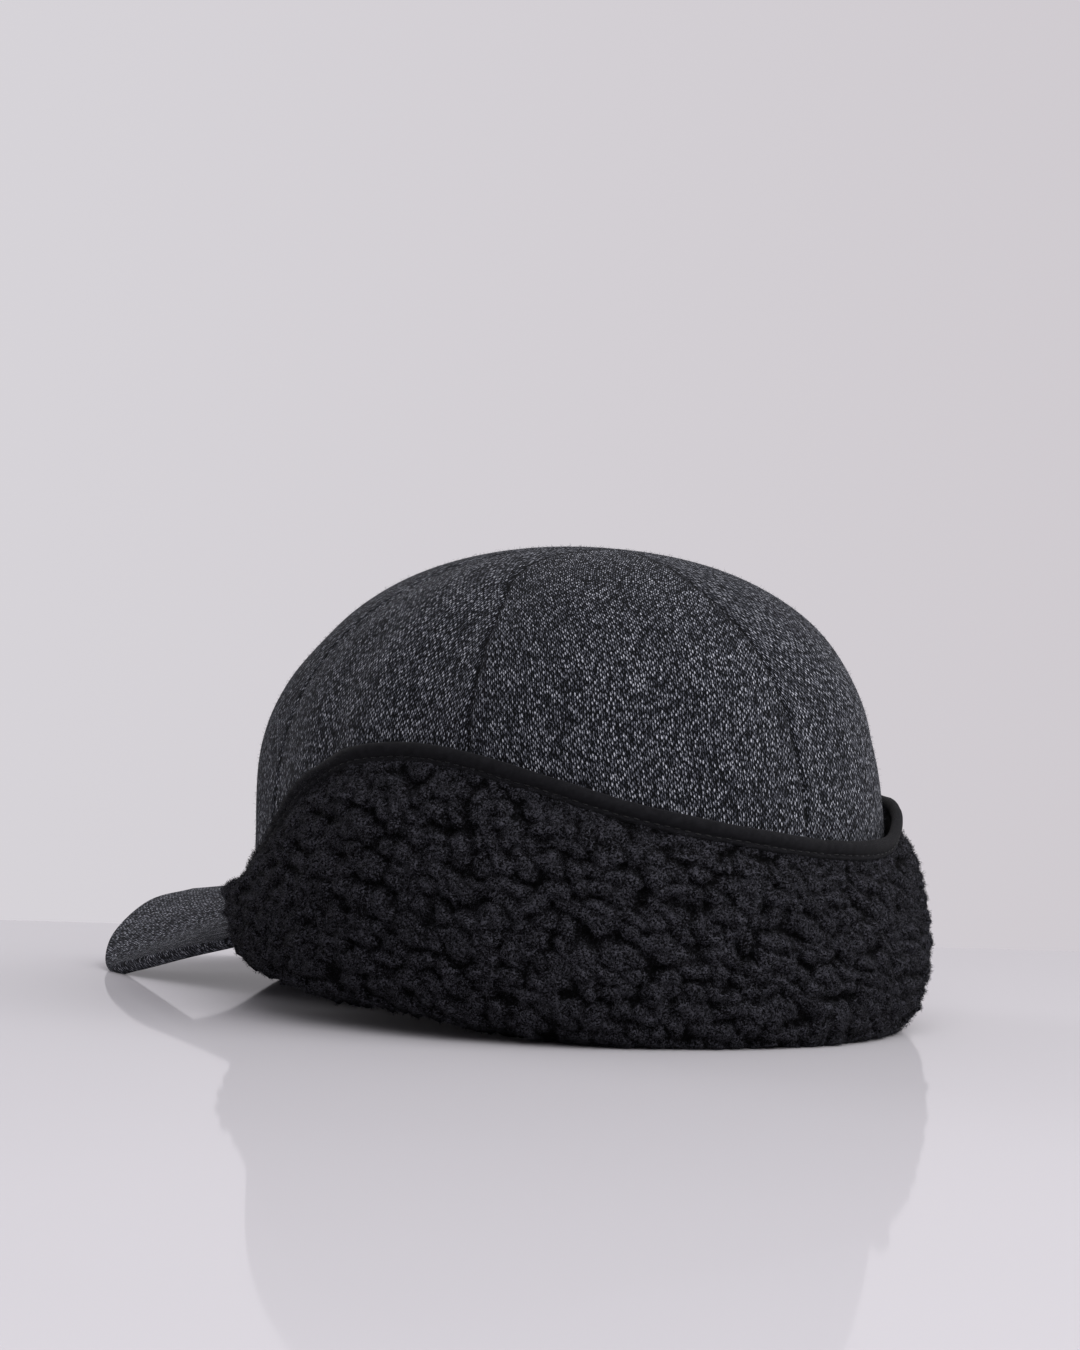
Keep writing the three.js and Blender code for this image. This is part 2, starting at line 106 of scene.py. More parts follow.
SWING = named_rows(
    "z swing",
    (0, 0),
    (60, 0),
    (72, 0.8),
    (91, 4.8),
    (107, 8.5),
    (118, 13.2),
    (127, 21.5),
    (133, 28),
    (136, 30),
)
SWING_TOWARDS = 33
GORES = [
    f"crown_panel_{place}"
    for place in ("front_left", "side_left", "rear_left", "rear_right", "side_right", "front_right")
]
GORE_BULGE = 2.2
SEAM_PULL = 0.9
SWELL_FROM_Z = 8
SWELL_FULL_Z = 48
SWELL_KEPT = 1.6
SEAM_GROOVE_DEPTH = 0.55
SEAM_GROOVE_HALF_WIDTH = 0.8
SEAM_SHADOW_HALF_WIDTH = 0.6
SEAM_RIDGE_HEIGHT = 0.4
SEAM_RIDGE_REACH = 4.5
SEAM_SHADOW = 0.32
SEAM_FADES_WITHIN = 12
PUCKER_HEIGHT = 0.28
PUCKER_PITCH = 5.5
PUCKER_REACH = 7
CRUMPLE_HEIGHT = 0.55
SMALL_CRUMPLE_HEIGHT = 0.3
CRUMPLE_FADES_WITHIN = 40
MEAN_RADIUS = 97
SMOOTH_ABOVE_RIM = 12
GORES_CUT_APART = 211
COLUMNS_A_GORE = 60
ROWS_TO_WAIST = 14
ROWS_TO_TIP = 62


def read_table(rows, by, column, at):
    """A smooth curve through a table's rows, read from one named column by another."""
    x = np.array([row[by] for row in rows], float)
    y = np.array([row[column] for row in rows], float)
    i = np.clip(np.searchsorted(x, at) - 1, 0, len(x) - 2)
    before = np.maximum(i - 1, 0)
    after = np.minimum(i + 2, len(x) - 1)
    span = x[i + 1] - x[i]
    t = np.clip((at - x[i]) / span, 0, 1)
    leaving = (y[i + 1] - y[before]) / (x[i + 1] - x[before]) * span
    arriving = (y[after] - y[i]) / (x[after] - x[i]) * span
    start = (2 * t**3 - 3 * t**2 + 1) * y[i] + (t**3 - 2 * t**2 + t) * leaving
    return start + (3 * t**2 - 2 * t**3) * y[i + 1] + (t**3 - t**2) * arriving


def side_turn(turn):
    """The turn from the front on either side, 0 to 180."""
    t = np.mod(turn, 360)
    return np.where(t > 180, 360 - t, t)


def share_between(value, start, end):
    """How far a value has come from a start to an end, from 0 to 1."""
    return np.clip((value - start) / (end - start), 0, 1)


def unit(directions):
    """Directions given a length of 1."""
    return directions / np.maximum(np.linalg.norm(directions, axis=-1, keepdims=True), 1e-9)


def walked_along(points, axis):
    """The distance walked over a grid of points along one of its axes, from 0 at its start."""
    steps = np.linalg.norm(np.diff(points, axis=axis), axis=-1)
    return np.insert(np.cumsum(steps, axis), 0, 0, axis)


def crown_share(z):
    """The crown's width at a height, as a share of its widest."""
    low = np.maximum((CROWN_WIDEST_Z - z) / CROWN_WIDEST_Z, 0)
    up = share_between(z, CROWN_WIDEST_Z, CROWN_TOP_Z)
    domed = np.maximum(1 - up**CROWN_SHOULDER, 0) ** (1 / CROWN_SHOULDER)
    return np.where(z <= CROWN_WIDEST_Z, 1 - (1 - RIM_SHARE) * low * low, domed)


def swung_turn(turn, z):
    """Where a line sewn up the crown has swung to at a height, as the crown leans to the front left."""
    return turn - read_table(SWING, "z", "swing", z) * np.sin(np.radians(turn - SWING_TOWARDS))


def crown_swell(turn, z):
    """How far the slack cloth swells out, or sinks into a fold, at a turn and height."""
    t = np.mod(turn, 360)
    seams = np.array(SEAMS, float)
    k = np.clip(np.searchsorted(seams, t) - 1, 0, len(seams) - 2)
    u = (t - seams[k]) / (seams[k + 1] - seams[k])
    swell = GORE_BULGE * 4 * u * (1 - u) - SEAM_PULL
    swell = swell * share_between(z, SWELL_FROM_Z, SWELL_FULL_Z)
    swung = swung_turn(t, z)
    for fold in FOLDS:
        share = (z - fold["z_low"]) / (fold["z_high"] - fold["z_low"])
        along = np.clip(share, -FOLD_OVERRUN, 1 + FOLD_OVERRUN)
        centre = fold["turn_low"] + (fold["turn_high"] - fold["turn_low"]) * along
        across = (swung - centre) / fold["width"]
        end = (along - 0.5) / FOLD_FADE
        swell = swell - fold["depth"] * np.exp(-across * across) * np.exp(-(end**4))
    return swell


def level_outward(turn):
    """The level direction straight out of the crown's oval at a turn."""
    a = np.radians(turn)
    out = [CROWN_HALF_LENGTH * np.sin(a), -CROWN_HALF_WIDTH * np.cos(a), np.zeros_like(a)]
    return unit(np.stack(out, -1))


def crown_point(turn, z, share, out):
    """A point on the crown's outer face, pushed out level by a distance, in millimetres as worn."""
    given = (np.asarray(value, float) for value in (turn, z, share, out))
    turn, z, share, out = np.broadcast_arrays(*given)
    swung = swung_turn(turn, z)
    a = np.radians(swung)
    reach = crown_swell(turn, z) * np.minimum(share * SWELL_KEPT, 1) + out
    back = -CROWN_HALF_LENGTH * share * np.cos(a) + read_table(LEAN, "z", "back", z)
    oval = np.stack([CROWN_HALF_WIDTH * share * np.sin(a), back, z], -1)
    return oval + level_outward(swung) * reach[..., None]


def lay_down(points):
    """The cap lies back on its rear edge, in millimetres; pressed-down cloth stops at the table."""
    y = points[..., 1] - REST_PIVOT_Y
    back = REST_PIVOT_Y + y * math.cos(REST_TILT) + points[..., 2] * math.sin(REST_TILT)
    up = points[..., 2] * math.cos(REST_TILT) - y * math.sin(REST_TILT)
    return np.stack([points[..., 0], back, np.maximum(up, 0)], -1)


front_heights = np.linspace(12, CROWN_TOP_Z, 200)
front_line = lay_down(crown_point(0.2, front_heights, crown_share(front_heights), 0))
ORIGIN_SHIFT_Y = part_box("crown_panel_front_left")[0].y / MM - front_line[:, 1].min()


def placed(points):
    """Points as worn, in millimetres, laid down and moved to the frame, in metres."""
    return (lay_down(points) + np.array([0, ORIGIN_SHIFT_Y, 0])) * MM


def scatter(a, b, seed):
    """A fixed random number from 0 to 1 for a pair of whole numbers."""
    s = np.sin(a * 127.1 + b * 311.7 + seed * 74.7) * 43758.5453
    return s - np.floor(s)


def soft_noise(x, y, seed):
    """Smooth noise from -1 to 1 with hills one unit apart."""
    ix, iy = np.floor(x), np.floor(y)
    fx, fy = x - ix, y - iy
    fx, fy = fx * fx * (3 - 2 * fx), fy * fy * (3 - 2 * fy)
    low = scatter(ix, iy, seed) * (1 - fx) + scatter(ix + 1, iy, seed) * fx
    high = scatter(ix, iy + 1, seed) * (1 - fx) + scatter(ix + 1, iy + 1, seed) * fx
    return (low * (1 - fy) + high * fy) * 2 - 1


def grid_normals(points, wraps):
    """Normals of a grid of points, from the slopes along its columns and rows."""
    if wraps:
        along = np.roll(points, -1, 0) - np.roll(points, 1, 0)
    else:
        along = np.gradient(points, axis=0)
    up = np.gradient(points, axis=1)
    return unit(np.cross(along, up))


def bare_object(name, points, faces):
    """An object with its own mesh, in metres, not yet in the scene."""
    mesh = bpy.data.meshes.new(name)
    mesh.from_pydata(points.tolist(), [], faces)
    mesh.update()
    return bpy.data.objects.new(name, mesh)


def show(piece):
    """Puts an object in the scene."""
    bpy.context.scene.collection.objects.link(piece)


def make_mesh(name, points, faces, uvs=None, slots=None):
    """A mesh object with its faces pointing outwards; uvs and slots hold one value for each face."""
    a, b, c = (points[[face[k] for face in faces]] for k in range(3))
    flip = float((a * np.cross(b, c)).sum()) < 0
    if flip:
        faces = [face[::-1] for face in faces]
    piece = bare_object(name, points, faces)
    mesh = piece.data
    if uvs is not None:
        layer = mesh.uv_layers.new(name="cloth_mm")
        flat = [pair for face in uvs for pair in (face[::-1] if flip else face)]
        layer.data.foreach_set("uv", np.array(flat, float).ravel())
    if slots is not None:
        mesh.polygons.foreach_set("material_index", slots)
    mesh.polygons.foreach_set("use_smooth", [True] * len(mesh.polygons))
    mesh.update()
    show(piece)
    return piece


def set_attribute(piece, name, values):
    """Stores one number for each point of a mesh."""
    layer = piece.data.attributes.new(name, "FLOAT", "POINT")
    layer.data.foreach_set("value", np.asarray(values, np.float32).ravel())


def gore_turns():
    """The turns of the crown's columns, closer together near the seams."""
    turns = []
    for start, end in zip(SEAMS[:-1], SEAMS[1:]):
        s = np.arange(COLUMNS_A_GORE) / COLUMNS_A_GORE
        near_seams = 0.5 - 0.5 * np.cos(math.pi * s)
        turns.extend(start + (end - start) * (0.45 * s + 0.55 * near_seams))
    return np.array(turns)


def crown_grid():
    """The crown's outer face as columns round it and rows from the rim to just short of the tip."""
    turns = gore_turns()[:, None]
    low = read_table(RIM, "turn", "z", side_turn(turns))
    to_waist = low + (CROWN_WIDEST_Z - low) * np.arange(ROWS_TO_WAIST) / ROWS_TO_WAIST
    angle = math.pi / 2 * (np.arange(ROWS_TO_TIP) / ROWS_TO_TIP)
    to_tip = CROWN_WIDEST_Z + (CROWN_TOP_Z - CROWN_WIDEST_Z) * np.sin(angle) ** (2 / CROWN_SHOULDER)
    z = np.concatenate([to_waist, np.broadcast_to(to_tip, (len(turns), ROWS_TO_TIP))], axis=1)
    share = crown_share(z)
    radius = share * (CROWN_HALF_LENGTH + CROWN_HALF_WIDTH) / 2
    nearest = np.min([np.abs(turns - seam) for seam in SEAMS], axis=0)
    from_seam = np.radians(nearest) * np.maximum(radius, 1)
    seam_share = share_between(radius, 0, SEAM_FADES_WITHIN)
    groove = SEAM_GROOVE_DEPTH * np.exp(-((from_seam / SEAM_GROOVE_HALF_WIDTH) ** 2))
    from_ridge = (from_seam - SEAM_RIDGE_REACH / 2) / (SEAM_RIDGE_REACH / 2.4)
    ridge = SEAM_RIDGE_HEIGHT * np.exp(-(from_ridge**2))
    puckers = soft_noise(z / PUCKER_PITCH, np.floor(turns / 60) * 9.1, 3)
    puckers = PUCKER_HEIGHT * puckers * np.exp(-((from_seam / PUCKER_REACH) ** 2))
    arc = np.radians(turns) * MEAN_RADIUS
    crumple = CRUMPLE_HEIGHT * soft_noise(arc / 26, z / 34, 1)
    crumple = crumple + SMALL_CRUMPLE_HEIGHT * soft_noise(arc / 11, z / 15, 2)
    out = (ridge - groove + puckers) * seam_share + crumple * share_between(radius, 0, CRUMPLE_FADES_WITHIN)
    out = out * share_between(z, low, low + SMOOTH_ABOVE_RIM)
    # Painted shadow along each seam's groove, carried to the wool's colour by the seam attribute.
    shadow = SEAM_SHADOW * np.exp(-((from_seam / SEAM_SHADOW_HALF_WIDTH) ** 2)) * seam_share
    return turns, z, crown_point(turns, z, share, out), shadow


def crown_mesh():
    """The whole crown as one shell of cloth, closed round the rim and at the tip."""
    turns, z, outer, shadow = crown_grid()
    columns, rows = outer.shape[:2]
    normal = grid_normals(outer, True)
    normal *= np.sign((normal * level_outward(turns + 0 * z)).sum(-1, keepdims=True).mean())
    normal[:, -3:] = np.array([0, 0, 1])
    inner = outer - normal * CLOTH
    hem = (outer[:, 0] + inner[:, 0]) / 2 - np.array([0, 0, 0.2])
    tip_out = crown_point(0, CROWN_TOP_Z, 0, 0) + np.array([0, 0, -0.5])
    tips = np.stack([tip_out, tip_out - np.array([0, 0, CLOTH])])
    points = np.concatenate([outer.reshape(-1, 3), inner.reshape(-1, 3), hem, tips])
    closed = np.concatenate([outer, outer[:1]])
    walked = walked_along(closed, 0)
    climbed = walked_along(closed, 1)
    inside = columns * rows
    hem_at = 2 * inside
    tip_at = hem_at + columns
    faces, uvs = [], []
    for i in range(columns):
        k = (i + 1) % columns
        gore = i // COLUMNS_A_GORE
        middle = (walked[gore * COLUMNS_A_GORE] + walked[(gore + 1) * COLUMNS_A_GORE]) / 2
        here = list(zip(walked[i] - middle + gore * GORES_CUT_APART, climbed[i]))
        beyond = list(zip(walked[i + 1] - middle + gore * GORES_CUT_APART, climbed[i + 1]))
        for j in range(rows - 1):
            quad = [i * rows + j, k * rows + j, k * rows + j + 1, i * rows + j + 1]
            cloth = [here[j], beyond[j], beyond[j + 1], here[j + 1]]
            faces += [quad, [inside + corner for corner in quad[::-1]]]
            uvs += [cloth, cloth[::-1]]
        faces.append([hem_at + i, hem_at + k, k * rows, i * rows])
        faces.append([inside + i * rows, inside + k * rows, hem_at + k, hem_at + i])
        uvs += [[here[0], beyond[0], beyond[0], here[0]]] * 2
        top, top_beyond = (i + 1) * rows - 1, (k + 1) * rows - 1
        peak = (here[-1][0], here[-1][1] + 2)
        faces += [[top, top_beyond, tip_at], [inside + top_beyond, inside + top, tip_at + 1]]
        uvs += [[here[-1], beyond[-1], peak], [beyond[-1], here[-1], peak]]
    outside_then_inside = [0, 1] * (len(faces) // 2)
    crown = make_mesh("wool_crown", placed(points), faces, uvs, outside_then_inside)
    outside = np.zeros(len(points))
    outside[:inside] = 1
    set_attribute(crown, "outside", outside)
    # No painted shade on the crown's nap: its painted shade factor is 1 everywhere.
    set_attribute(crown, "painted_shade_factor", np.ones(len(points)))
    # The seam attribute is the painted shadow along the seams.
    set_attribute(crown, "seam", np.append(shadow.ravel(), np.zeros(len(points) - shadow.size)))
    return crown


def linear(hex_colour):
    """An sRGB hex colour as linear red, green, blue and alpha."""
    parts = [int(hex_colour[k : k + 2], 16) / 255 for k in (1, 3, 5)]
    return [c / 12.92 if c <= 0.04045 else ((c + 0.055) / 1.055) ** 2.4 for c in parts] + [1.0]


def add(tree, kind, given=None, **links):
    """Adds a node: a shader node where its kind says no other, with its operation after a space. Given sets
    its properties by name and its sockets by name or number. Each link goes to the input of its name, or of
    its number as i0 or i1, and comes from a socket or from a node's first output."""
    kind, _, operation = kind.partition(" ")
    node = tree.nodes.new(kind if "Node" in kind else f"ShaderNode{kind}")
    if operation:
        node.operation = operation
    for key, value in (given or {}).items():
        if hasattr(node, str(key)):
            setattr(node, key, value)
        else:
            node.inputs[key].default_value = value
    for key, source in links.items():
        numbered = key[0] == "i" and key[1:].isdigit()
        socket = node.inputs[int(key[1:]) if numbered else key]
        tree.links.new(source.outputs[0] if isinstance(source, bpy.types.Node) else source, socket)
    return node


def ramp(tree, source, stops):
    """A colour ramp with the given places and hex colours."""
    node = add(tree, "ValToRGB", i0=source)
    elements = node.color_ramp.elements
    while len(elements) < len(stops):
        elements.new(0.5)
    for element, (place, colour) in zip(elements, stops):
        element.position = place
        element.color = linear(colour)
    return node.outputs["Color"]


def cloth_coordinates(tree, scale, turn=0.0):
    """The cloth's own UV map, in millimetres, turned and scaled."""
    uv = add(tree, "UVMap", {"uv_map": "cloth_mm"})
    return add(tree, "Mapping", {"Scale": scale, "Rotation": (0, 0, turn)}, Vector=uv)


def new_material(name, **values):
    """A new material with its node tree and its shader, whose sockets are set by name."""
    material = bpy.data.materials.new(name)
    material.use_nodes = True
    shader = material.node_tree.nodes["Principled BSDF"]
    for key, value in values.items():
        shader.inputs[key.replace("_", " ")].default_value = value
    return material, material.node_tree, shader


# Heather wool, woven from a near-black and a light grey yarn and lightly brushed: the light yarn comes up in
# upright flecks 0.7 mm wide and 1.7 mm long, each row half a fleck higher than the one beside it, uneven in
# brightness, over a blue-black ground, all matt. The single threads in a fleck are too fine to show.
FLECK_WIDTH = 0.7
FLECK_LENGTH = 1.7
FLECK_STEP = 0.5
YARN_BUMP = 0.3


def heather_wool(name, stops, bump):
    """One heather wool; stops are its colours from the dark ground up to the lightest yarn."""
    material, tree, shader = new_material(
        name, Roughness=0.95, Specular_IOR_Level=0.06, Sheen_Weight=0.02, Sheen_Roughness=0.6
    )
    place = cloth_coordinates(tree, (1 / FLECK_WIDTH, 1 / FLECK_LENGTH, 1))
    wander = add(tree, "TexNoise", {"Scale": 0.6, "Detail": 2}, Vector=place)
    wandered = add(tree, "VectorMath MULTIPLY_ADD", {1: (0.7, 0.7, 0)}, i0=wander.outputs["Color"], i2=place)
    apart = add(tree, "SeparateXYZ", i0=wandered).outputs
    row = add(tree, "Math FLOOR", i0=apart["X"])
    other = add(tree, "Math PINGPONG", {1: 1.0}, i0=row)
    stepped = add(tree, "Math MULTIPLY_ADD", {1: FLECK_STEP}, i0=other, i2=apart["Y"])
    woven = add(tree, "CombineXYZ", X=apart["X"], Y=stepped)
    fleck = add(tree, "TexVoronoi", {"Scale": 1.0, "Randomness": 0.4}, Vector=woven)
    fibre = add(tree, "TexNoise", {"Scale": 2.6, "Detail": 3, "Roughness": 0.7}, Vector=wandered)
    patch = add(tree, "TexNoise", {"Scale": 0.06, "Detail": 3}, Vector=place)
    yarn = add(tree, "SeparateColor", i0=fleck.outputs["Color"])
    body = add(tree, "MapRange", {1: 0.2, 2: 0.54, 3: 1.0, 4: 0.0}, Value=fleck.outputs["Distance"])
    mixed = body
    for source, low, high, least, most in [
        (yarn.outputs[0], 0.0, 1.0, 0.62, 1.0),
        (fibre.outputs["Fac"], 0.3, 0.7, 0.45, 1.4),
        (patch.outputs["Fac"], 0.3, 0.7, 0.92, 1.08),
    ]:
        share = add(tree, "MapRange", {1: low, 2: high, 3: least, 4: most}, Value=source)
        mixed = add(tree, "Math MULTIPLY", i0=mixed, i1=share)
    # Painted shadow along the seams, read from the seam attribute, darkens the colour.
    seam = add(tree, "Attribute", {"attribute_name": "seam"})
    mixed = add(tree, "Math SUBTRACT", i0=mixed, i1=seam.outputs["Fac"])
    tree.links.new(ramp(tree, mixed, stops), shader.inputs["Base Color"])
    height = add(tree, "Math MULTIPLY_ADD", {1: 0.5}, i0=fibre.outputs["Fac"], i2=body)
    relief = add(tree, "Bump", {"Strength": 0.8, "Distance": bump * MM}, Height=height)
    tree.links.new(relief.outputs["Normal"], shader.inputs["Normal"])
    return material


wool = heather_wool(
    "heather wool, woven and brushed",
    [(0.0, "#060709"), (0.12, "#0E0F12"), (0.34, "#2E3037"), (0.6, "#5D5F67"), (1.0, "#AFB1B8")],
    YARN_BUMP,
)
wool_back = heather_wool(
    "heather wool, wrong side", [(0.0, "#08090B"), (0.5, "#2A2B31"), (1.0, "#5C5E66")], YARN_BUMP * 0.6
)

crown = crown_mesh()
crown.data.materials.append(wool)
crown.data.materials.append(wool_back)
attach(crown, "root")
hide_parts(*GORES)


# Nap of the crown
# The brushed face of the wool stands up in a thin haze of loose fibre ends, seen only along the outline.
# Each is a hair about a millimetre long that lies over at a low angle.
NAP_HAIR_LENGTH = 1.3
NAP_HAIR_WIDTH = 0.06
NAP_PER_SQUARE_MM = 0.3
FIBRES_A_METRE = 2300


def hair_blade(name, length, width, curl, count, spread, seed):
    """A few curved, tapering blades from one root; the attribute tip runs from 0 at the root to 1."""
    rng = np.random.default_rng(seed)
    points, faces, tips = [], [], []
    for k in range(count):
        heading = 2 * math.pi * (k + rng.uniform(-0.3, 0.3)) / count
        lean = spread * rng.uniform(0.35, 1.0)
        reach = length * rng.uniform(0.7, 1.15)
        side = np.array([-math.sin(heading), math.cos(heading), 0])
        ahead = np.array([math.cos(heading), math.sin(heading), 0])
        root = ahead * rng.uniform(0, 0.25) * spread * length * 0.4
        bend = lean + curl * rng.uniform(0.5, 1.2)
        middle = root + (ahead * math.sin(lean) + np.array([0, 0, math.cos(lean)])) * reach * 0.55
        twist = side * curl * rng.uniform(-0.35, 0.35) * reach
        end = middle + (ahead * math.sin(bend) + np.array([0, 0, math.cos(bend)])) * reach * 0.5 + twist
        at = len(points)
        points += [root - side * width / 2, root + side * width / 2]
        points += [middle - side * width * 0.42, middle + side * width * 0.42, end]
        faces += [[at, at + 1, at + 3, at + 2], [at + 2, at + 3, at + 4]]
        tips += [0, 0, 0.55, 0.55, 1]
    blade = bare_object(name, np.array(points) * MM, faces)
    set_attribute(blade, "tip", tips)
    return blade


def new_geometry_tree(name, inputs):
    """An empty geometry tree with its named inputs, and the sockets that give them inside it."""
    tree = bpy.data.node_groups.new(name, "GeometryNodeTree")
    for socket, kind in [("Geometry", "Geometry")] + inputs:
        tree.interface.new_socket(name=socket, in_out="INPUT", socket_type=f"NodeSocket{kind}")
    tree.interface.new_socket(name="Geometry", in_out="OUTPUT", socket_type="NodeSocketGeometry")
    return tree, add(tree, "NodeGroupInput").outputs


def set_on_points(tree, given, shape, points, turned, size):
    """The end of a geometry tree: one object's shape on every point, made real, with its material."""
    shape = add(tree, "GeometryNodeObjectInfo", Object=given[shape])
    laid = add(tree, "GeometryNodeInstanceOnPoints", Points=points, Instance=shape.outputs["Geometry"],
               Rotation=turned, Scale=size)
    real = add(tree, "GeometryNodeRealizeInstances", Geometry=laid)
    done = add(tree, "GeometryNodeSetMaterial", Geometry=real, Material=given["Material"])
    add(tree, "NodeGroupOutput", i0=done)
    return tree


def growing_tree():
    """Geometry nodes that scatter a tuft over a surface, stand it on the surface and turn it at random."""
    tree, given = new_geometry_tree("grow tufts", [
        ("Tuft", "Object"),
        ("Tufts a square metre", "Float"),
        ("Where", "String"),
        ("Lean", "Float"),
        ("Smallest", "Float"),
        ("Largest", "Float"),
        ("Seed", "Int"),
        ("Material", "Material"),
    ])
    where = add(tree, "GeometryNodeInputNamedAttribute", Name=given["Where"])
    density = add(tree, "Math MULTIPLY", i0=where, i1=given["Tufts a square metre"])
    spots = add(tree, "GeometryNodeDistributePointsOnFaces", Mesh=given["Geometry"], Density=density,
                Seed=given["Seed"])
    minus = add(tree, "Math MULTIPLY", {1: -1.0}, i0=given["Lean"])
    low = add(tree, "CombineXYZ", {"Z": 0.0}, X=minus, Y=minus)
    high = add(tree, "CombineXYZ", {"Z": 2 * math.pi}, X=given["Lean"], Y=given["Lean"])
    turned = add(tree, "FunctionNodeRandomValue", {"data_type": "FLOAT_VECTOR"}, i0=low, i1=high,
                 Seed=given["Seed"])
    stood = add(tree, "FunctionNodeRotateRotation", {"rotation_space": "LOCAL"},
                Rotation=spots.outputs["Rotation"], i1=turned)
    size = add(tree, "FunctionNodeRandomValue", i2=given["Smallest"], i3=given["Largest"], Seed=given["Seed"])
    return set_on_points(tree, given, "Tuft", spots.outputs["Points"], stood, size.outputs[1])


def from_nodes(name, base, tree, inputs, lowest=0.0002):
    """Runs a geometry tree on a copy of a piece and keeps the result as a plain mesh above the table."""
    carrier = base.copy()
    carrier.data = base.data.copy()
    show(carrier)
    modifier = carrier.modifiers.new(name, "NODES")
    modifier.node_group = tree
    for socket in tree.interface.items_tree:
        if socket.in_out == "INPUT" and socket.name in inputs:
            modifier[socket.identifier] = inputs[socket.name]
    bpy.context.view_layer.update()
    evaluated = carrier.evaluated_get(bpy.context.evaluated_depsgraph_get())
    mesh = bpy.data.meshes.new_from_object(evaluated)
    mesh.name = name
    co = np.zeros(len(mesh.vertices) * 3)
    mesh.vertices.foreach_get("co", co)
    co = co.reshape(-1, 3)
    co[:, 2] = np.maximum(co[:, 2], lowest)
    mesh.vertices.foreach_set("co", co.ravel())
    mesh.update()
    carrier.modifiers.clear()
    bpy.data.objects.remove(carrier)
    piece = bpy.data.objects.new(name, mesh)
    show(piece)
    return piece


# Loose fibre: single combed fibres, matt, with painted shade at the root and wherever they stand in a cleft,
# and a painted highlight at the tip. Real fibre is too fine to show, so it is drawn coarser: each hair and
# patch of colour stands for a few fibres.
def single_fibres(tree, brightest):
    """Brightness that changes from fibre to fibre, most of them dark and a few light."""
    spot = add(tree, "TexCoord")
    ends = add(tree, "TexVoronoi", {"Scale": FIBRES_A_METRE}, Vector=spot.outputs["Object"])
    one = add(tree, "SeparateColor", i0=ends.outputs["Color"])
    rare = add(tree, "Math MULTIPLY", i0=one, i1=one)
    return add(tree, "MapRange", {3: 0.1, 4: brightest}, Value=rare)


def loose_fibre(name, root, tip):
    """Fibre with one colour at the root and another at the tip: painted shade at the root, a painted
    highlight at the tip.
    """
    material, tree, shader = new_material(name, Roughness=0.7, Specular_IOR_Level=0.1)
    along = add(tree, "Attribute", {"attribute_name": "tip"})
    painted_shade_factor = add(tree, "Attribute", {"attribute_name": "painted_shade_factor"})
    tipped = add(tree, "MapRange", {3: 0.35, 4: 1.0}, Value=along.outputs["Fac"])
    shade = add(tree, "Math MULTIPLY", i0=tipped, i1=single_fibres(tree, 1.9))
    shade = add(tree, "Math MULTIPLY", i0=shade, i1=painted_shade_factor.outputs["Fac"])
    tree.links.new(ramp(tree, shade, [(0.0, root), (1.0, tip)]), shader.inputs["Base Color"])
    return material


grow = growing_tree()
nap_hair = hair_blade("nap hair", NAP_HAIR_LENGTH, NAP_HAIR_WIDTH, 0.9, 1, 1.1, 5)
nap = from_nodes("wool_nap", crown, grow, {
    "Tuft": nap_hair,
    "Tufts a square metre": NAP_PER_SQUARE_MM * 1e6,
    "Where": "outside",
    "Lean": 0.7,
    "Smallest": 0.5,
    "Largest": 1.3,
    "Seed": 11,
    "Material": loose_fibre("loose wool fibre", "#0C0D11", "#6C6E79"),
})
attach(nap, "root")


# Visor
# A short, strongly arched visor: a bendable board covered above and below in the crown's wool, with a soft
# round edge. It is sewn under the crown's front rim, and its two front corners rest on the table.
VISOR_EDGE = named_rows(
    "along x y z",
    (0, 0, -185, -1.4),
    (0.2, 19, -184, -4.9),
    (0.4, 37, -178.5, -14.6),
    (0.55, 47.5, -167, -22),
    (0.7, 54, -147, -17.5),
    (0.85, 60, -116, -8),
    (1, 64, -86, 0.5),
)
VISOR_ROOT_TURN = 46
VISOR_ROOT_ABOVE_RIM = 4.5
VISOR_THICKNESS = 4.4
VISOR_COLUMNS = 150
VISOR_ROWS = 40
VISOR_EDGE_STEPS = 10
VISOR_EDGE_BULGE = 0.8


def visor_top():
    """The visor's upper face: straight lines from the crown's front rim out to the arched edge."""
    across = np.linspace(-1, 1, VISOR_COLUMNS + 1)
    side = np.where(across < 0, -1.0, 1.0)
    along = np.abs(across)
    turn = VISOR_ROOT_TURN * along**0.8 * side
    root_z = read_table(RIM, "turn", "z", np.abs(turn)) + VISOR_ROOT_ABOVE_RIM
    root = crown_point(turn, root_z, crown_share(root_z), GAP)
    x, y, z = (read_table(VISOR_EDGE, "along", axis, along) for axis in "xyz")
    edge = np.stack([side * x, y, z], -1)
    share = np.linspace(0, 1, VISOR_ROWS + 1)[None, :, None]
    return root[:, None] * (1 - share) + edge[:, None] * share


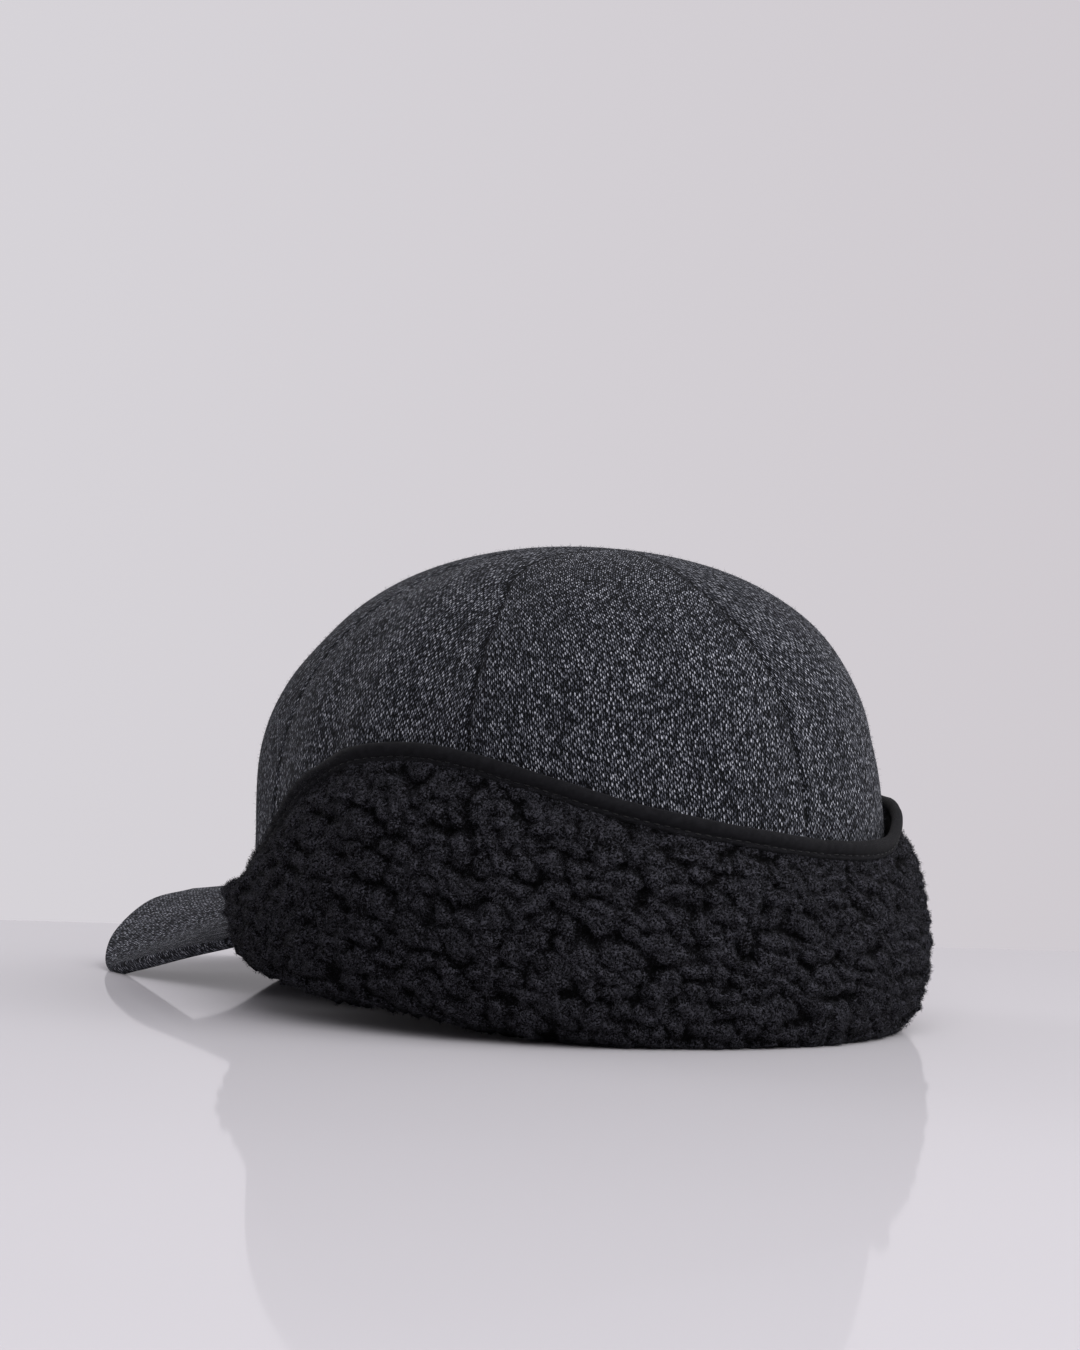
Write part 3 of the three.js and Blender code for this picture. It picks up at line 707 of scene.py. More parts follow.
def ring_mesh(name, rings, u, v, wrap, slots=None):
    """A piece made of rings side by side, in millimetres as worn, and closed at both ends. u and v are its
    places on the cloth, and wrap is how far v goes on from a ring's last point to its first."""
    columns, around = rings.shape[:2]
    u, v = np.broadcast_to(u, (columns, around)), np.broadcast_to(v, (columns, around))
    faces, uvs = [], []
    for i in range(columns - 1):
        for j in range(around):
            k = (j + 1) % around
            far, far_beyond = (v[i, k], v[i + 1, k]) if k else (v[i, j] + wrap, v[i + 1, j] + wrap)
            faces.append([i * around + j, (i + 1) * around + j, (i + 1) * around + k, i * around + k])
            near = [(u[i, j], v[i, j]), (u[i + 1, j], v[i + 1, j])]
            uvs.append(near + [(u[i + 1, k], far_beyond), (u[i, k], far)])
    last, end_at = (columns - 1) * around, columns * around
    for j in range(around):
        k = (j + 1) % around
        faces += [[j, k, end_at], [last + k, last + j, end_at + 1]]
        uvs += [[(0, v[0, j]), (0, v[0, k]), (2, v[0, j])]] * 2
    points = np.concatenate([rings.reshape(-1, 3), rings[0].mean(0)[None], rings[-1].mean(0)[None]])
    return make_mesh(name, placed(points), faces, uvs, slots)


def visor_mesh():
    """The visor as rings, one for each line: along the top, round the edge and back underneath."""
    top = visor_top()
    normal = grid_normals(top, False)
    normal *= np.sign(normal[..., 2].mean())
    down = normal.copy()
    down[:, 0] = np.array([0, 0, 1])
    outward = unit(top[:, -1] - top[:, -2])[:, None]
    half = VISOR_THICKNESS / 2
    bend = np.linspace(0, math.pi, VISOR_EDGE_STEPS + 2)[1:-1][None, :, None]
    bulge = normal[:, -1][:, None] * np.cos(bend) + outward * np.sin(bend) * VISOR_EDGE_BULGE
    edge = (top[:, -1] - normal[:, -1] * half)[:, None] + half * bulge
    under = (top - down * VISOR_THICKNESS)[:, ::-1]
    rings = np.concatenate([top, edge, under], axis=1)
    crossed = walked_along(rings, 0)
    crossed = crossed - crossed[len(rings) // 2]
    walked = walked_along(rings, 1)
    walked = walked - walked[:, VISOR_ROWS : VISOR_ROWS + 1]
    return ring_mesh("wool_visor", rings, crossed, walked, VISOR_THICKNESS)


# Heather wool over the board: a lighter copy of the crown's wool, whose extra lightness is a painted sheen on
# the visor.
visor = visor_mesh()
visor.data.materials.append(heather_wool(
    "heather wool, visor copy with painted sheen",
    [(0.0, "#08090B"), (0.12, "#121317"), (0.34, "#383A42"), (0.6, "#6C6E77"), (1.0, "#BEC0C8")],
    YARN_BUMP,
))
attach(visor, "root")
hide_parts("visor")


# Ear flap
# Curly pile cloth, knitted and brushed into dense small clumps, folded under the crown's rim and turned up
# round the sides and back, with a ragged lower edge under which its roll hangs a little. The clumps are
# modelled in its backing, and the fibre ends stand on them.
FLAP = named_rows(
    "turn top bottom pile stand_off",
    (34, 20, 12.5, 7, 0.2),
    (42, 25, 12.5, 12, 0.3),
    (48, 28.5, 11, 13, 0.4),
    (55, 31.8, 0, 13.5, 0.5),
    (66, 40.9, 0, 14, 0.6),
    (74, 51.3, 0.2, 14.5, 0.7),
    (82, 63.8, 1, 15, 0.8),
    (92, 73.7, 1.8, 16, 0.8),
    (104, 78, 2.2, 17, 0.8),
    (115, 78, 1.6, 18, 0.8),
    (128, 75, 0.8, 18.5, 1.2),
    (145, 69.1, 0, 18.5, 1.8),
    (165, 64.6, 0, 18, 3.5),
    (180, 61.5, 0, 18, 4),
)
PILE_PROFILE = named_rows(
    "up behind front",
    (0, 0.7, 0.42),
    (0.07, 0.92, 0.56),
    (0.2, 1, 0.76),
    (0.38, 0.95, 0.94),
    (0.56, 0.8, 1),
    (0.74, 0.62, 0.92),
    (0.88, 0.44, 0.72),
    (1, 0.24, 0.4),
)
PILE_FRONT_TURN = 50
PILE_BEHIND_TURN = 84
PILE_THINNEST = 4.4
FLAP_END = 34
RIGHT_SAG = named_rows(
    "turn sag",
    (180, 0),
    (192, 3.4),
    (203, 5.1),
    (215, 2.8),
    (222, 3.6),
    (234, 8.9),
    (243, 10.5),
    (262, 5),
    (282, 0),
    (360, 0),
)
SLACK = 0.3
SLACK_POWER = 1.5
HEM_REACH = 6.5
HEM_RISE = 4
HEM_STARTS = 57
HEM_TUCKED_AT = 64
HEM_RISEN_AT = 72
ROLL_HANGS = 4.2
ROLL_HANGS_FROM = 72
ROLL_HANGS_FULL_AT = 88
BINDING_HALF_HEIGHT = 2.2
BINDING_HALF_THICKNESS = 1.8
FLAP_COLUMNS = 760
FLAP_ROWS = 86
FLAP_INNER_ROWS = 8
CLUMP_SIZE = 6.2
CLUMP_HEIGHT = 2.8
CLUMPS_WANDER_BY = 2.6
CURL_SIZE = 2.8
CURL_HEIGHT = 1.2
CURLS_WANDER_BY = 1.1
RIPPLE_HEIGHT = 0.7
FIBRE_DEPTH = 1.1
PRESSED_DEPTH = 1.6
PRESSED_TO = 1.2
FULL_PILE_FROM = 8
FREE_AT_THE_ENDS = 0.35
ENDS_FROM = 66
ENDS_FULL_AT = 46
ENDS_THINNER = 0.16
RAGGED_BY = 1.6
RAGGED_UP_TO = 140
RAGGED_FULL_AT = 90
TUFTS_PER_SQUARE_MM = 0.9


def flap_value(column, turn):
    """One column of the flap's table at a turn; its edge sags lower on the right."""
    value = read_table(FLAP, "turn", column, side_turn(turn))
    if column == "top":
        value = value - read_table(RIGHT_SAG, "turn", "sag", turn)
    return value


def binding_centre(turn):
    """The binding's middle line, which the pile's upper edge follows."""
    z = flap_value("top", turn) - BINDING_HALF_HEIGHT
    return crown_point(turn, z, crown_share(z), GAP + flap_value("stand_off", turn) + BINDING_HALF_THICKNESS)


def binding_frame(turn):
    """The binding's centre and its directions along, outward and up, at each turn."""
    along = unit(binding_centre(turn + 0.5) - binding_centre(turn - 0.5))
    up = unit(np.cross(level_outward(turn), along))
    up *= np.sign(up[..., 2:])
    out = np.cross(along, up)
    out *= np.sign((out * level_outward(turn)).sum(-1, keepdims=True))
    return binding_centre(turn), along, out, up


def stand_off(turn, up):
    """How far the flap's inner face stands off the crown."""
    return GAP + SLACK * np.sin(math.pi * up) + flap_value("stand_off", turn) * up**SLACK_POWER


def pile_thickness(turn, up):
    """The pile's thickness at a turn and a share of the way up the flap."""
    behind = share_between(side_turn(turn), PILE_FRONT_TURN, PILE_BEHIND_TURN)
    share = behind * read_table(PILE_PROFILE, "up", "behind", up)
    share = share + (1 - behind) * read_table(PILE_PROFILE, "up", "front", up)
    return np.maximum(flap_value("pile", turn) * share, PILE_THINNEST)


def clumps(x, y, size, jitter, seed):
    """Round tufts heaped in staggered rows, one to a jittered cell, from 0 in the clefts to 1 on top."""
    x, y = x / size, y / size
    height = np.zeros_like(x)
    cx, cy = np.floor(x), np.floor(y)
    for dx in (-1, 0, 1):
        for dy in (-1, 0, 1):
            ix, iy = cx + dx, cy + dy
            px = ix + 0.25 + 0.5 * np.mod(iy, 2) + (scatter(ix, iy, seed) - 0.5) * jitter
            py = iy + 0.5 + (scatter(iy, ix, seed + 5) - 0.5) * jitter
            wide = 0.6 + 0.15 * scatter(ix, iy, seed + 17)
            tall = 0.78 + 0.22 * scatter(ix, iy, seed + 13)
            height = np.maximum(height, tall * (1 - ((x - px) ** 2 + (y - py) ** 2) / wide**2))
    return height


def clump_height(along, up):
    """The pile's clumps over its face, in millimetres from the clefts, and a painted shade factor that
    darkens the clefts.
    """
    wandered = []
    for start, seed in ((along, 20), (up, 30)):
        far = CLUMPS_WANDER_BY * soft_noise(along / 9, up / 9, seed + 1)
        wandered.append(start + far + CURLS_WANDER_BY * soft_noise(along / 3.4, up / 3.4, seed + 2))
    x, y = wandered[0] + 0.35 * up, wandered[1]
    large = clumps(x, y * 1.2, CLUMP_SIZE, 0.55, 1)
    small = clumps(x + 1.7, y * 1.15, CURL_SIZE, 1.0, 2)
    ripple = soft_noise(along / 13, up / 10, 41) + 0.5 * soft_noise(along / 2.2, up / 2.2, 42)
    lumps = CLUMP_HEIGHT * large + CURL_HEIGHT * small * (0.45 + 0.55 * large) + RIPPLE_HEIGHT * ripple
    # Painted shade: the second value darkens the clefts between the clumps and curls.
    return lumps, (0.2 + 0.8 * share_between(large, 0.15, 0.6)) * (0.4 + 0.6 * small)


def flap_sections():
    """The flap's sections round the cap: up the pile, over the edge, down the facing and under the rim."""
    turn = (FLAP_END + (360 - 2 * FLAP_END) * np.linspace(0, 1, FLAP_COLUMNS + 1))[:, None]
    side = side_turn(turn)
    centre, _, _, frame_up = binding_frame(turn[:, 0])
    level = np.maximum(np.abs(frame_up[:, 2:]), 0.4)
    walked = walked_along(centre, 0)[:, None]
    ragged = soft_noise(walked / 3.6, walked * 0, 61) + 0.7 * soft_noise(walked / 1.5, walked * 0, 62)
    ragged *= share_between(side, RAGGED_UP_TO, RAGGED_FULL_AT)
    bottom = flap_value("bottom", turn) + RAGGED_BY * ragged
    top = flap_value("top", turn) - BINDING_HALF_HEIGHT - (BINDING_HALF_HEIGHT + GAP * 0.4) / level
    rim = read_table(RIM, "turn", "z", side)
    reach = share_between(side, HEM_STARTS, HEM_TUCKED_AT)
    rise = share_between(side, HEM_TUCKED_AT, HEM_RISEN_AT)
    low = bottom + 1.2 + (rim - GAP - bottom - 1.2) * reach
    hang = ROLL_HANGS * share_between(side, ROLL_HANGS_FROM, ROLL_HANGS_FULL_AT)
    up = (np.linspace(0, 1, FLAP_ROWS) ** 0.92)[None]
    z = bottom + (top - bottom) * up
    pressed = 1 - FREE_AT_THE_ENDS * share_between(side, PILE_BEHIND_TURN, PILE_FRONT_TURN)
    freed = share_between(top - z, PRESSED_TO * pressed, FULL_PILE_FROM * pressed) ** 0.7
    thick = pile_thickness(turn, up) * (1 - ENDS_THINNER * share_between(side, ENDS_FROM, ENDS_FULL_AT))
    lumps, painted_shade_factor = clump_height(walked + 0 * z, z)
    lumps = lumps * (0.15 + 0.85 * freed) * np.clip(thick / 7, 0.8, 1)
    full = thick - FIBRE_DEPTH - CLUMP_HEIGHT - CURL_HEIGHT * 0.7
    grown = (np.maximum(full, PRESSED_DEPTH) - PRESSED_DEPTH) * freed
    depth = stand_off(turn, up) + PRESSED_DEPTH + grown + lumps
    outer = crown_point(turn, z, crown_share(z), depth)
    inner_share = np.linspace(1, 0, FLAP_INNER_ROWS)[None]
    inner_z = low + (top - low) * inner_share
    inner_up = np.clip((inner_z - bottom) / (top - bottom), 0, 1)
    inner = crown_point(turn, inner_z, crown_share(inner_z), stand_off(turn, inner_up))
    edge = (outer[:, -1:] * 0.7 + inner[:, :1] * 0.3) + np.array([0, 0, 0.1])
    hem = []
    for down, tucked_z, free, tucked in [
        (0.2, low, GAP + 0.2, -CLOTH - GAP * 2),
        (0.35, low + HEM_RISE * rise, GAP + 0.4, -CLOTH - GAP * 2.3),
        (0.42, low + (HEM_RISE + 1.2) * rise, GAP + 0.5, -HEM_REACH * 0.7),
        (0.5, low + HEM_RISE * rise, GAP + 0.6, -HEM_REACH),
        (0.65, low - 1, GAP + 0.8, -HEM_REACH - 1),
        (0.85, bottom + 1.5 - hang, GAP + 1.1, -HEM_REACH),
        (1, bottom - hang, GAP + 1.6, 3 - HEM_REACH),
        (1, bottom - hang / 2, GAP + 3.2, 0.5),
    ]:
        hem_z = (low + (bottom - low) * down) * (1 - reach) + tucked_z * reach
        hem.append(crown_point(turn, hem_z, crown_share(hem_z), free + (tucked - free) * reach))
    sections = np.concatenate([outer, edge, inner] + hem, axis=1)
    facing = np.zeros(sections.shape[:2])
    facing[:, FLAP_ROWS + 1 : FLAP_ROWS + 1 + FLAP_INNER_ROWS] = 1
    # Painted shade: every row off the pile's face, the edge, facing and hem, is darkened to 0.35, and the
    # pile's face by its clefts.
    height = np.zeros(sections.shape[:2]) + 0.35
    height[:, :FLAP_ROWS] = painted_shade_factor
    return turn[:, 0], walked[:, 0], sections, facing, height


def flap_mesh():
    """The flap's backing with its clumps, closed at both ends."""
    turn, walked, sections, facing, height = flap_sections()
    slots = np.append(facing[:-1].ravel(), np.zeros(2 * facing.shape[1])).astype(int).tolist()
    climbed = walked_along(sections, 1)
    flap = ring_mesh("ear_flap_backing", sections, walked[:, None], climbed, 2, slots)
    # The painted shade factor, with painted shade of 0.3 at the two end caps.
    set_attribute(flap, "painted_shade_factor", np.append(height.ravel(), [0.3, 0.3]))
    quarter = np.floor((turn - FLAP_END) / (360 - 2 * FLAP_END) * 3.9999)
    pile_here = (1 - facing) * np.clip(height * 1.2, 0.2, 1)
    pile_here[:, FLAP_ROWS : FLAP_ROWS + 1] = 0
    for k in range(4):
        set_attribute(flap, f"pile_{k}", np.append((pile_here * (quarter == k)[:, None]).ravel(), [0, 0]))
    return flap


# Curly pile: loops of fine dark fibre brushed up and set, as on sherpa cloth. Painted shade makes it black in
# the clefts, and a cool painted highlight lightens the fibre ends on the clumps.
def pile_backing(name):
    """The clumps' own surface: matted fibre, darkened by painted shade the deeper it lies."""
    material, tree, shader = new_material(name, Roughness=0.95, Specular_IOR_Level=0.05)
    painted_shade_factor = add(tree, "Attribute", {"attribute_name": "painted_shade_factor"})
    spot = add(tree, "TexCoord")
    matting = {"Scale": 1100, "Detail": 2, "Roughness": 0.7}
    fuzz = add(tree, "TexNoise", matting, Vector=spot.outputs["Object"])
    matted = add(tree, "MapRange", {1: 0.36, 2: 0.64, 3: 0.5, 4: 1.3}, Value=fuzz.outputs["Fac"])
    grain = add(tree, "Math MULTIPLY", i0=matted, i1=single_fibres(tree, 2.2))
    shade = add(tree, "Math MULTIPLY", i0=painted_shade_factor.outputs["Fac"], i1=grain)
    colour = ramp(tree, shade, [(0.0, "#010101"), (0.2, "#09090B"), (1.0, "#39393F")])
    tree.links.new(colour, shader.inputs["Base Color"])
    relief = add(tree, "Bump", {"Strength": 1.0, "Distance": 0.5 * MM}, Height=fuzz.outputs["Fac"])
    tree.links.new(relief.outputs["Normal"], shader.inputs["Normal"])
    return material


# Facing: plain tightly woven dark cloth on the side of the flap that lies against the crown.
# Binding: the same cloth cut on the bias, folded over the flap's edge and rolled, with a faint sheen on it.
# Its threads are finer than this, and are drawn as coarse as they need to be to show.
THREAD_PITCH = 0.42


def woven_tape(name, dark, light, sheen):
    """Plain dark cloth whose threads run aslant, between two close colours."""
    material, tree, shader = new_material(
        name, Roughness=0.85, Specular_IOR_Level=0.06, Sheen_Weight=sheen, Sheen_Roughness=0.4
    )
    place = cloth_coordinates(tree, (1 / THREAD_PITCH, 1 / THREAD_PITCH, 1), math.radians(38))
    bands = {"Scale": 0.5, "Distortion": 1.2, "Detail": 2, "Detail Scale": 1.4}
    threads = add(tree, "TexWave", bands, Vector=place)
    mottle = add(tree, "TexNoise", {"Scale": 0.22, "Detail": 4, "Roughness": 0.65}, Vector=place)
    blend = add(tree, "Math MULTIPLY_ADD", {1: 0.35}, i0=threads.outputs["Fac"], i2=mottle.outputs["Fac"])
    tree.links.new(ramp(tree, blend, [(0.35, dark), (0.95, light)]), shader.inputs["Base Color"])
    relief = add(tree, "Bump", {"Strength": 0.6, "Distance": 0.12 * MM}, Height=threads.outputs["Fac"])
    tree.links.new(relief.outputs["Normal"], shader.inputs["Normal"])
    return material


flap = flap_mesh()
flap.data.materials.append(pile_backing("curly pile, knitted backing"))
flap.data.materials.append(woven_tape("plain woven facing", "#08080A", "#18181B", 0.03))
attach(flap, "root")
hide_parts("ear_flap_fleece")

pile_inputs = {
    "Tuft": hair_blade("pile tuft", 1.6, 0.1, 1.5, 5, 0.9, 7),
    "Tufts a square metre": TUFTS_PER_SQUARE_MM * 1e6,
    "Smallest": 0.6,
    "Material": loose_fibre("curly pile, brushed fibre ends", "#030304", "#46464D"),
}
for k, place in enumerate(["front_left", "rear_left", "rear_right", "front_right"]):
    here = {"Where": f"pile_{k}", "Lean": 0.55, "Largest": 1.4, "Seed": 40 + k}
    pile = from_nodes(f"ear_flap_pile_{place}", flap, grow, {**pile_inputs, **here})
    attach(pile, "root")


# Binding
# A strip of smooth dark cloth folded over the flap's raw edge: a roll about 4 mm high, and under it a flat
# margin that one row of machine stitches holds down on the pressed pile.
BINDING_SECTION = named_rows(
    "at out up",
    (0, 0.9, 1.95),
    (1, 1.7, 1.0),
    (2, 1.85, -0.2),
    (3, 1.5, -1.3),
    (4, 1.0, -1.9),
    (5, 1.25, -2.5),
    (6, 1.2, -3.1),
    (7, 0.7, -3.6),
    (8, 0, -3.6),
    (9, -0.8, -2.8),
    (10, -1.5, -1.4),
    (11, -1.8, 0),
    (12, -1.2, 1.6),
    (13, -0.1, 2.25),
)
BINDING_COLUMNS = 620
BINDING_THINS_FROM = 82
BINDING_THINNEST_AT = 52
BINDING_THINNEST = 0.4
BINDING_SIDES = 28
FUZZ_FROM = 94
FUZZ_FULL_AT = 76
FUZZY_SIDES = 17
STITCH_AT = 4.3
STITCH_PITCH = 3.0
STITCH_LENGTH = 1.8
STITCH_WIDTH = 0.32


def binding_surface(turn, at):
    """Points round the binding's section, at places counted along its table."""
    centre, _, out, up = binding_frame(turn)
    walked = walked_along(centre, 0)
    wobble = 1 + 0.05 * soft_noise(walked / 14, walked * 0, 41)
    wobble = wobble + 0.025 * soft_noise(walked / 3.3, walked * 0, 43)
    rows = BINDING_SECTION[-2:] + BINDING_SECTION + BINDING_SECTION[:2]
    count = len(BINDING_SECTION)
    rows = [{**row, "at": k - 2} for k, row in enumerate(rows)]
    wide, tall = (read_table(rows, "at", column, np.mod(at, count)) for column in ("out", "up"))
    towards_end = share_between(side_turn(turn), BINDING_THINS_FROM, BINDING_THINNEST_AT)
    thin = 1 - (1 - BINDING_THINNEST) * towards_end**2 * (3 - 2 * towards_end)
    wobble = wobble * thin
    centre = centre - out * (BINDING_HALF_THICKNESS * (1 - thin))[:, None]
    offset = out[:, None] * (wide[None] * wobble[:, None])[..., None]
    return walked, centre[:, None] + offset + up[:, None] * (tall[None] * wobble[:, None])[..., None]


def binding_mesh():
    """The rolled binding, closed at both ends."""
    turn = FLAP_END + (360 - 2 * FLAP_END) * np.linspace(0, 1, BINDING_COLUMNS + 1)
    round_it = np.arange(BINDING_SIDES) / BINDING_SIDES
    walked, rings = binding_surface(turn, len(BINDING_SECTION) * round_it)
    girth = math.pi * (BINDING_HALF_HEIGHT + BINDING_HALF_THICKNESS)
    roll = ring_mesh("flap_binding_roll", rings, walked[:, None], girth * round_it, girth / BINDING_SIDES)
    towards_end = share_between(side_turn(turn), FUZZ_FROM, FUZZ_FULL_AT)
    faces_out = np.arange(BINDING_SIDES) < FUZZY_SIDES
    set_attribute(roll, "fuzzy", np.append((towards_end[:, None] * faces_out).ravel(), [0, 0]))
    # Painted shade on the fibre ends that lie over the binding: they are darkened to 0.62.
    set_attribute(roll, "painted_shade_factor", np.full(rings.shape[0] * rings.shape[1] + 2, 0.62))
    return roll


def stitch_shape():
    """One stitch: a short thread, thicker in the middle, its ends dipping into the cloth."""
    points, faces = [], []
    sides, steps = 6, 6
    for i in range(steps + 1):
        s = i / steps * 2 - 1
        thick = STITCH_WIDTH / 2 * math.sqrt(max(1 - s * s * 0.85, 0.05))
        for j in range(sides):
            a = 2 * math.pi * j / sides
            lift = 0.22 * (1 - s * s)
            points.append((s * STITCH_LENGTH / 2, thick * math.cos(a), thick * 0.8 * math.sin(a) + lift))
    for i in range(steps):
        for j in range(sides):
            k = (j + 1) % sides
            faces.append([i * sides + j, i * sides + k, (i + 1) * sides + k, (i + 1) * sides + j])
    faces.append(list(range(sides))[::-1])
    faces.append([steps * sides + j for j in range(sides)])
    stitch = bare_object("binding stitch", np.array(points) * MM, faces)
    stitch.data.polygons.foreach_set("use_smooth", [True] * len(faces))
    return stitch


def stitching_tree():
    """Geometry nodes that lay one stitch on each point, along its thread and facing outwards."""
    tree, given = new_geometry_tree("lay stitches", [
        ("Stitch", "Object"),
        ("Unevenness", "Float"),
        ("Seed", "Int"),
        ("Material", "Material"),
    ])
    along, out = (
        add(tree, "GeometryNodeInputNamedAttribute", {"data_type": "FLOAT_VECTOR", "Name": name})
        for name in ("along", "out")
    )
    axes = {"primary_axis": "Z", "secondary_axis": "X"}
    laid = add(tree, "FunctionNodeAxesToRotation", axes, i0=out, i1=along)
    least = add(tree, "Math SUBTRACT", {0: 1.0}, i1=given["Unevenness"])
    most = add(tree, "Math ADD", {0: 1.0}, i1=given["Unevenness"])
    size = add(tree, "FunctionNodeRandomValue", i2=least, i3=most, Seed=given["Seed"])
    return set_on_points(tree, given, "Stitch", given["Geometry"], laid, size.outputs[1])


def stitch_row():
    """A point for each stitch along the binding's lower edge, with its thread's direction and the way out."""
    fine = FLAP_END + 1 + (360 - 2 * FLAP_END - 2) * np.linspace(0, 1, 3000)
    walked, _ = binding_surface(fine, np.array([STITCH_AT]))
    places = np.arange(STITCH_PITCH, walked[-1] - STITCH_PITCH, STITCH_PITCH)
    turn = np.interp(places, walked, fine)
    _, line = binding_surface(turn, np.array([STITCH_AT]))
    _, along, out, up = binding_frame(turn)
    uneven = 0.12 * soft_noise(places * 0.9, places * 0, 51)
    points = line[:, 0] + up * uneven[:, None] + out * 0.05
    slant = along + up * (0.1 * soft_noise(places * 1.3, places * 0, 53))[:, None]
    row = bare_object("stitch row", placed(points), [])
    for name, ahead in (("along", slant), ("out", out)):
        layer = row.data.attributes.new(name, "FLOAT_VECTOR", "POINT")
        pointing = unit(placed(points + ahead) - placed(points))
        layer.data.foreach_set("vector", pointing.astype(np.float32).ravel())
    return row


# Sewing thread: spun polyester, two plies twisted, so it keeps a narrow sheen that the matt cloth lacks.
def sewing_thread(name, dark, light):
    """Thread mottled along its length between two close colours."""
    material, tree, shader = new_material(name, Roughness=0.5, Specular_IOR_Level=0.3)
    spot = add(tree, "TexCoord")
    ply = add(tree, "TexNoise", {"Scale": 900, "Detail": 1}, Vector=spot.outputs["Object"])
    tree.links.new(ramp(tree, ply, [(0.35, dark), (0.7, light)]), shader.inputs["Base Color"])
    return material


binding = binding_mesh()
binding.data.materials.append(woven_tape("bias binding, folded and pressed", "#08080A", "#1B1B1E", 0.03))
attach(binding, "root")
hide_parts("flap_binding")

# Towards the flap's front ends the binding sinks into the pile, whose fibre ends lie over it.
fuzz = from_nodes("binding_fuzz", binding, grow, {
    **pile_inputs, "Where": "fuzzy", "Lean": 0.9, "Largest": 1.5, "Seed": 47
})
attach(fuzz, "root")

row = stitch_row()
show(row)
stitches = from_nodes("binding_stitches", row, stitching_tree(), {
    "Stitch": stitch_shape(),
    "Unevenness": 0.1,
    "Seed": 3,
    "Material": sewing_thread("spun polyester thread", "#060607", "#1A1A1D"),
})
bpy.data.objects.remove(row)
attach(stitches, "root")


# Table, light and camera
# A pale lacquered table top in a plain light room. Soft light comes from above, from the picture's right and
# weakly from before the visor. The camera stands level with the crown, behind the cap's left shoulder. Here
# lengths are in metres.
CAMERA_AZIMUTH = math.radians(137)
CAMERA_DISTANCE = 1.300
CAMERA_HEIGHT = 0.128
FOCAL_PIXELS = 4186
IMAGE_LONG_SIDE = 1350
SENSOR = 36
AIM_LEFT = math.radians(0.33)
AIM_DOWN = math.radians(1.054)
ROLL = math.radians(1.65)
TABLE_BACK = 0.285
TABLE_REACH = 1.6
TABLE_THICKNESS = 0.03

middle = Vector((0, ORIGIN_SHIFT_Y * MM, 0))
upward = Vector((0, 0, 1))
to_camera = Vector((math.sin(CAMERA_AZIMUTH), -math.cos(CAMERA_AZIMUTH), 0))
picture_right = Vector((math.cos(CAMERA_AZIMUTH), math.sin(CAMERA_AZIMUTH), 0))


def glossy_table(name, stops):
    """White sprayed table top: mostly matt white, under a thin clear lacquer that mirrors the cap faintly."""
    material, tree, shader = new_material(name, Roughness=1.0, Specular_IOR_Level=0.0)
    spot = add(tree, "TexCoord")
    cloud = add(tree, "TexNoise", {"Scale": 3.0, "Detail": 2}, Vector=spot.outputs["Object"])
    tree.links.new(ramp(tree, cloud, stops), shader.inputs["Base Color"])
    lacquer = add(tree, "BsdfAnisotropic", {"Roughness": 0.04, "Color": (0.95, 0.95, 0.95, 1)})
    flat = add(tree, "Fresnel", {"IOR": 1.05})
    share = add(tree, "Math MULTIPLY", {1: 0.9}, i0=flat)
    both = add(tree, "MixShader", i0=share, i1=shader, i2=lacquer)
    tree.links.new(both.outputs[0], tree.nodes["Material Output"].inputs["Surface"])
    return material


def table_mesh():
    """A slab whose back edge runs square to the view behind the cap."""
    back = middle - to_camera * TABLE_BACK
    corners = []
    for depth in (0, 2 * TABLE_REACH):
        for across in (-TABLE_REACH, TABLE_REACH):
            corners.append(back + to_camera * depth + picture_right * across)
    points = [tuple(c) for c in corners] + [tuple(c - upward * TABLE_THICKNESS) for c in corners]
    faces = [[0, 1, 3, 2], [4, 6, 7, 5], [0, 4, 5, 1], [2, 3, 7, 6], [0, 2, 6, 4], [1, 5, 7, 3]]
    table = make_mesh("table top", np.array(points), faces)
    table.data.polygons.foreach_set("use_smooth", [False] * len(faces))
    return table


table = table_mesh()
table.data.materials.append(glossy_table("white lacquered table", [(0.3, "#BBB9BD"), (0.7, "#BDBBBF")]))


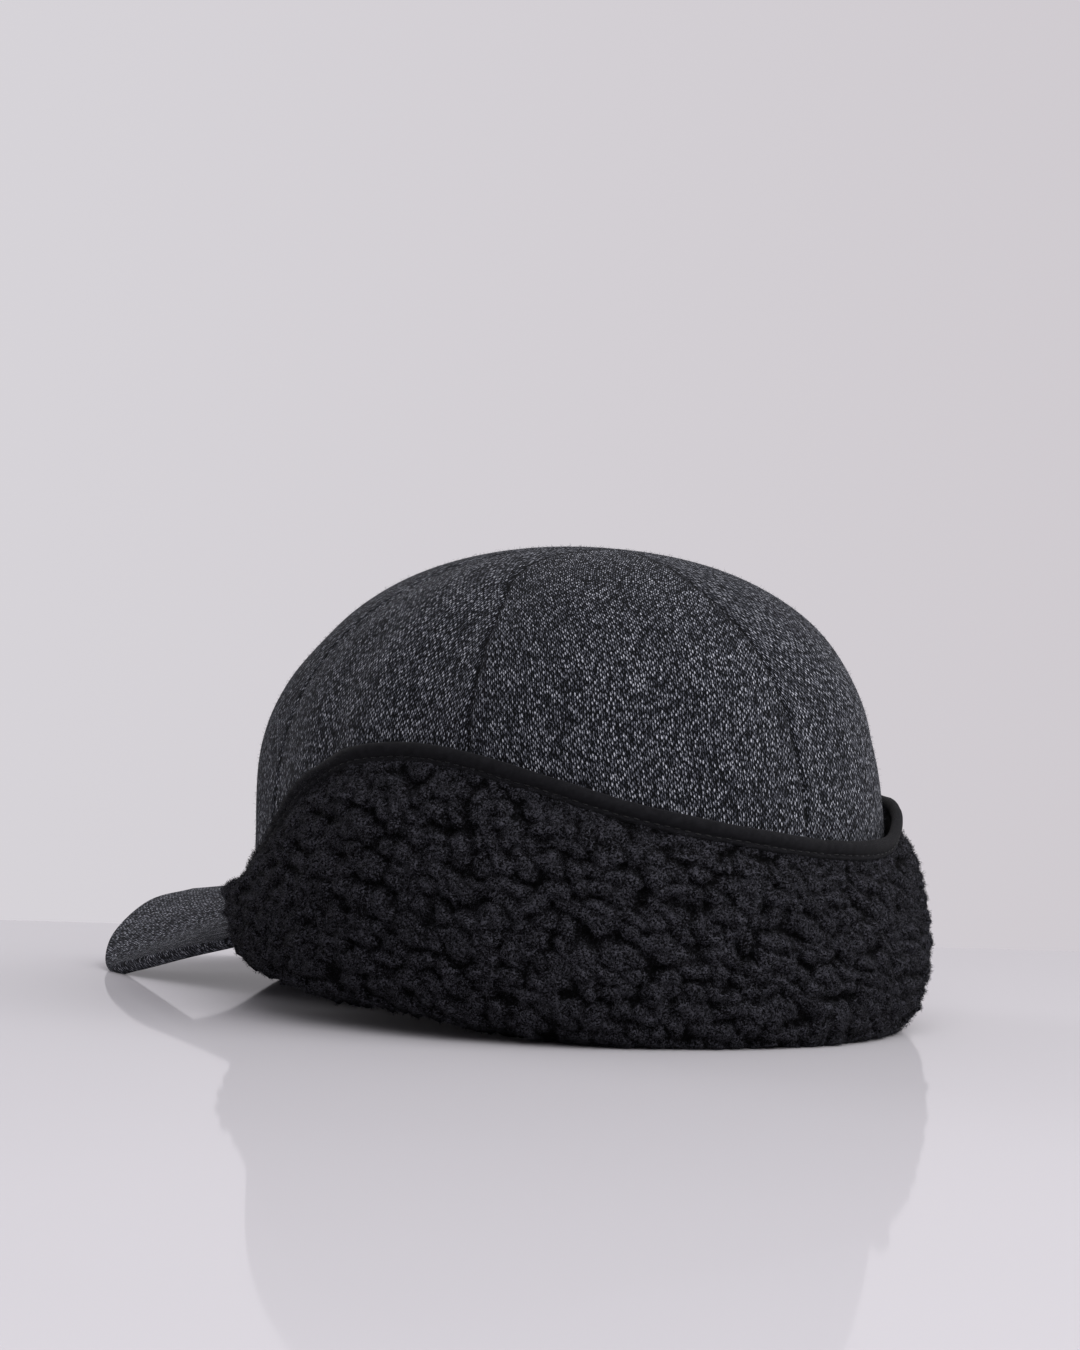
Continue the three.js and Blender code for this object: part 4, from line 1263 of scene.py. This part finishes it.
# Soft boxes that face the cap: two large ones above and to the right, and a weak one before the visor.
cap_middle = middle + upward * 0.07
for name, stands_at, size, power in [
    ("window light, right", picture_right * 1.3 + to_camera * 0.5 + upward * 1.4, 1.6, 22),
    ("overhead light", picture_right * 0.3 + to_camera * 1.3 + upward * 1.3, 1.8, 22),
    ("window light, before the visor", Vector((0.25, -1.6, 0.32)), 0.7, 10),
]:
    light = bpy.data.lights.new(name, "AREA")
    light.shape = "SQUARE"
    light.size = size
    light.energy = power
    light.color = (1.0, 0.99, 1.0)
    lamp = bpy.data.objects.new(name, light)
    facing = (-stands_at).to_track_quat("-Z", "Y").to_matrix().to_4x4()
    lamp.matrix_world = Matrix.Translation(cap_middle + stands_at) @ facing
    show(lamp)

room = bpy.data.worlds.new("pale_room")
room.use_nodes = True
tree = room.node_tree
looking = add(tree, "TexCoord")
to_right = add(tree, "VectorMath DOT_PRODUCT", {1: tuple(picture_right)},
               i0=looking.outputs["Generated"]).outputs["Value"]
across = add(tree, "MapRange", {1: -1.0, 2: 1.0}, Value=to_right)
wall = ramp(tree, across, [
    (0.0, "#5C5A60"), (0.3, "#8C8A90"), (0.42, "#D7D4D9"), (0.58, "#CFCACF"), (1.0, "#FFFFFF")
])
tree.links.new(wall, tree.nodes["Background"].inputs["Color"])
bpy.context.scene.world = room
bpy.context.scene.view_settings.view_transform = "Standard"

camera_data = bpy.data.cameras.new("camera")
camera_data.sensor_width = SENSOR
camera_data.lens = FOCAL_PIXELS * SENSOR / IMAGE_LONG_SIDE
camera_data.clip_start = 0.05
camera_data.clip_end = 50
camera = bpy.data.objects.new("camera", camera_data)
ahead = Matrix.Rotation(AIM_LEFT, 3, "Z") @ (-to_camera)
right = ahead.cross(upward)
ahead = (ahead * math.cos(AIM_DOWN) - upward * math.sin(AIM_DOWN)).normalized()
up = right.cross(ahead)
rolled_right = right * math.cos(ROLL) + up * math.sin(ROLL)
rolled_up = up * math.cos(ROLL) - right * math.sin(ROLL)
turned = Matrix((rolled_right, rolled_up, -ahead)).transposed().to_4x4()
stands_at = middle + to_camera * CAMERA_DISTANCE + upward * CAMERA_HEIGHT
camera.matrix_world = Matrix.Translation(stands_at) @ turned
show(camera)
bpy.context.scene.camera = camera
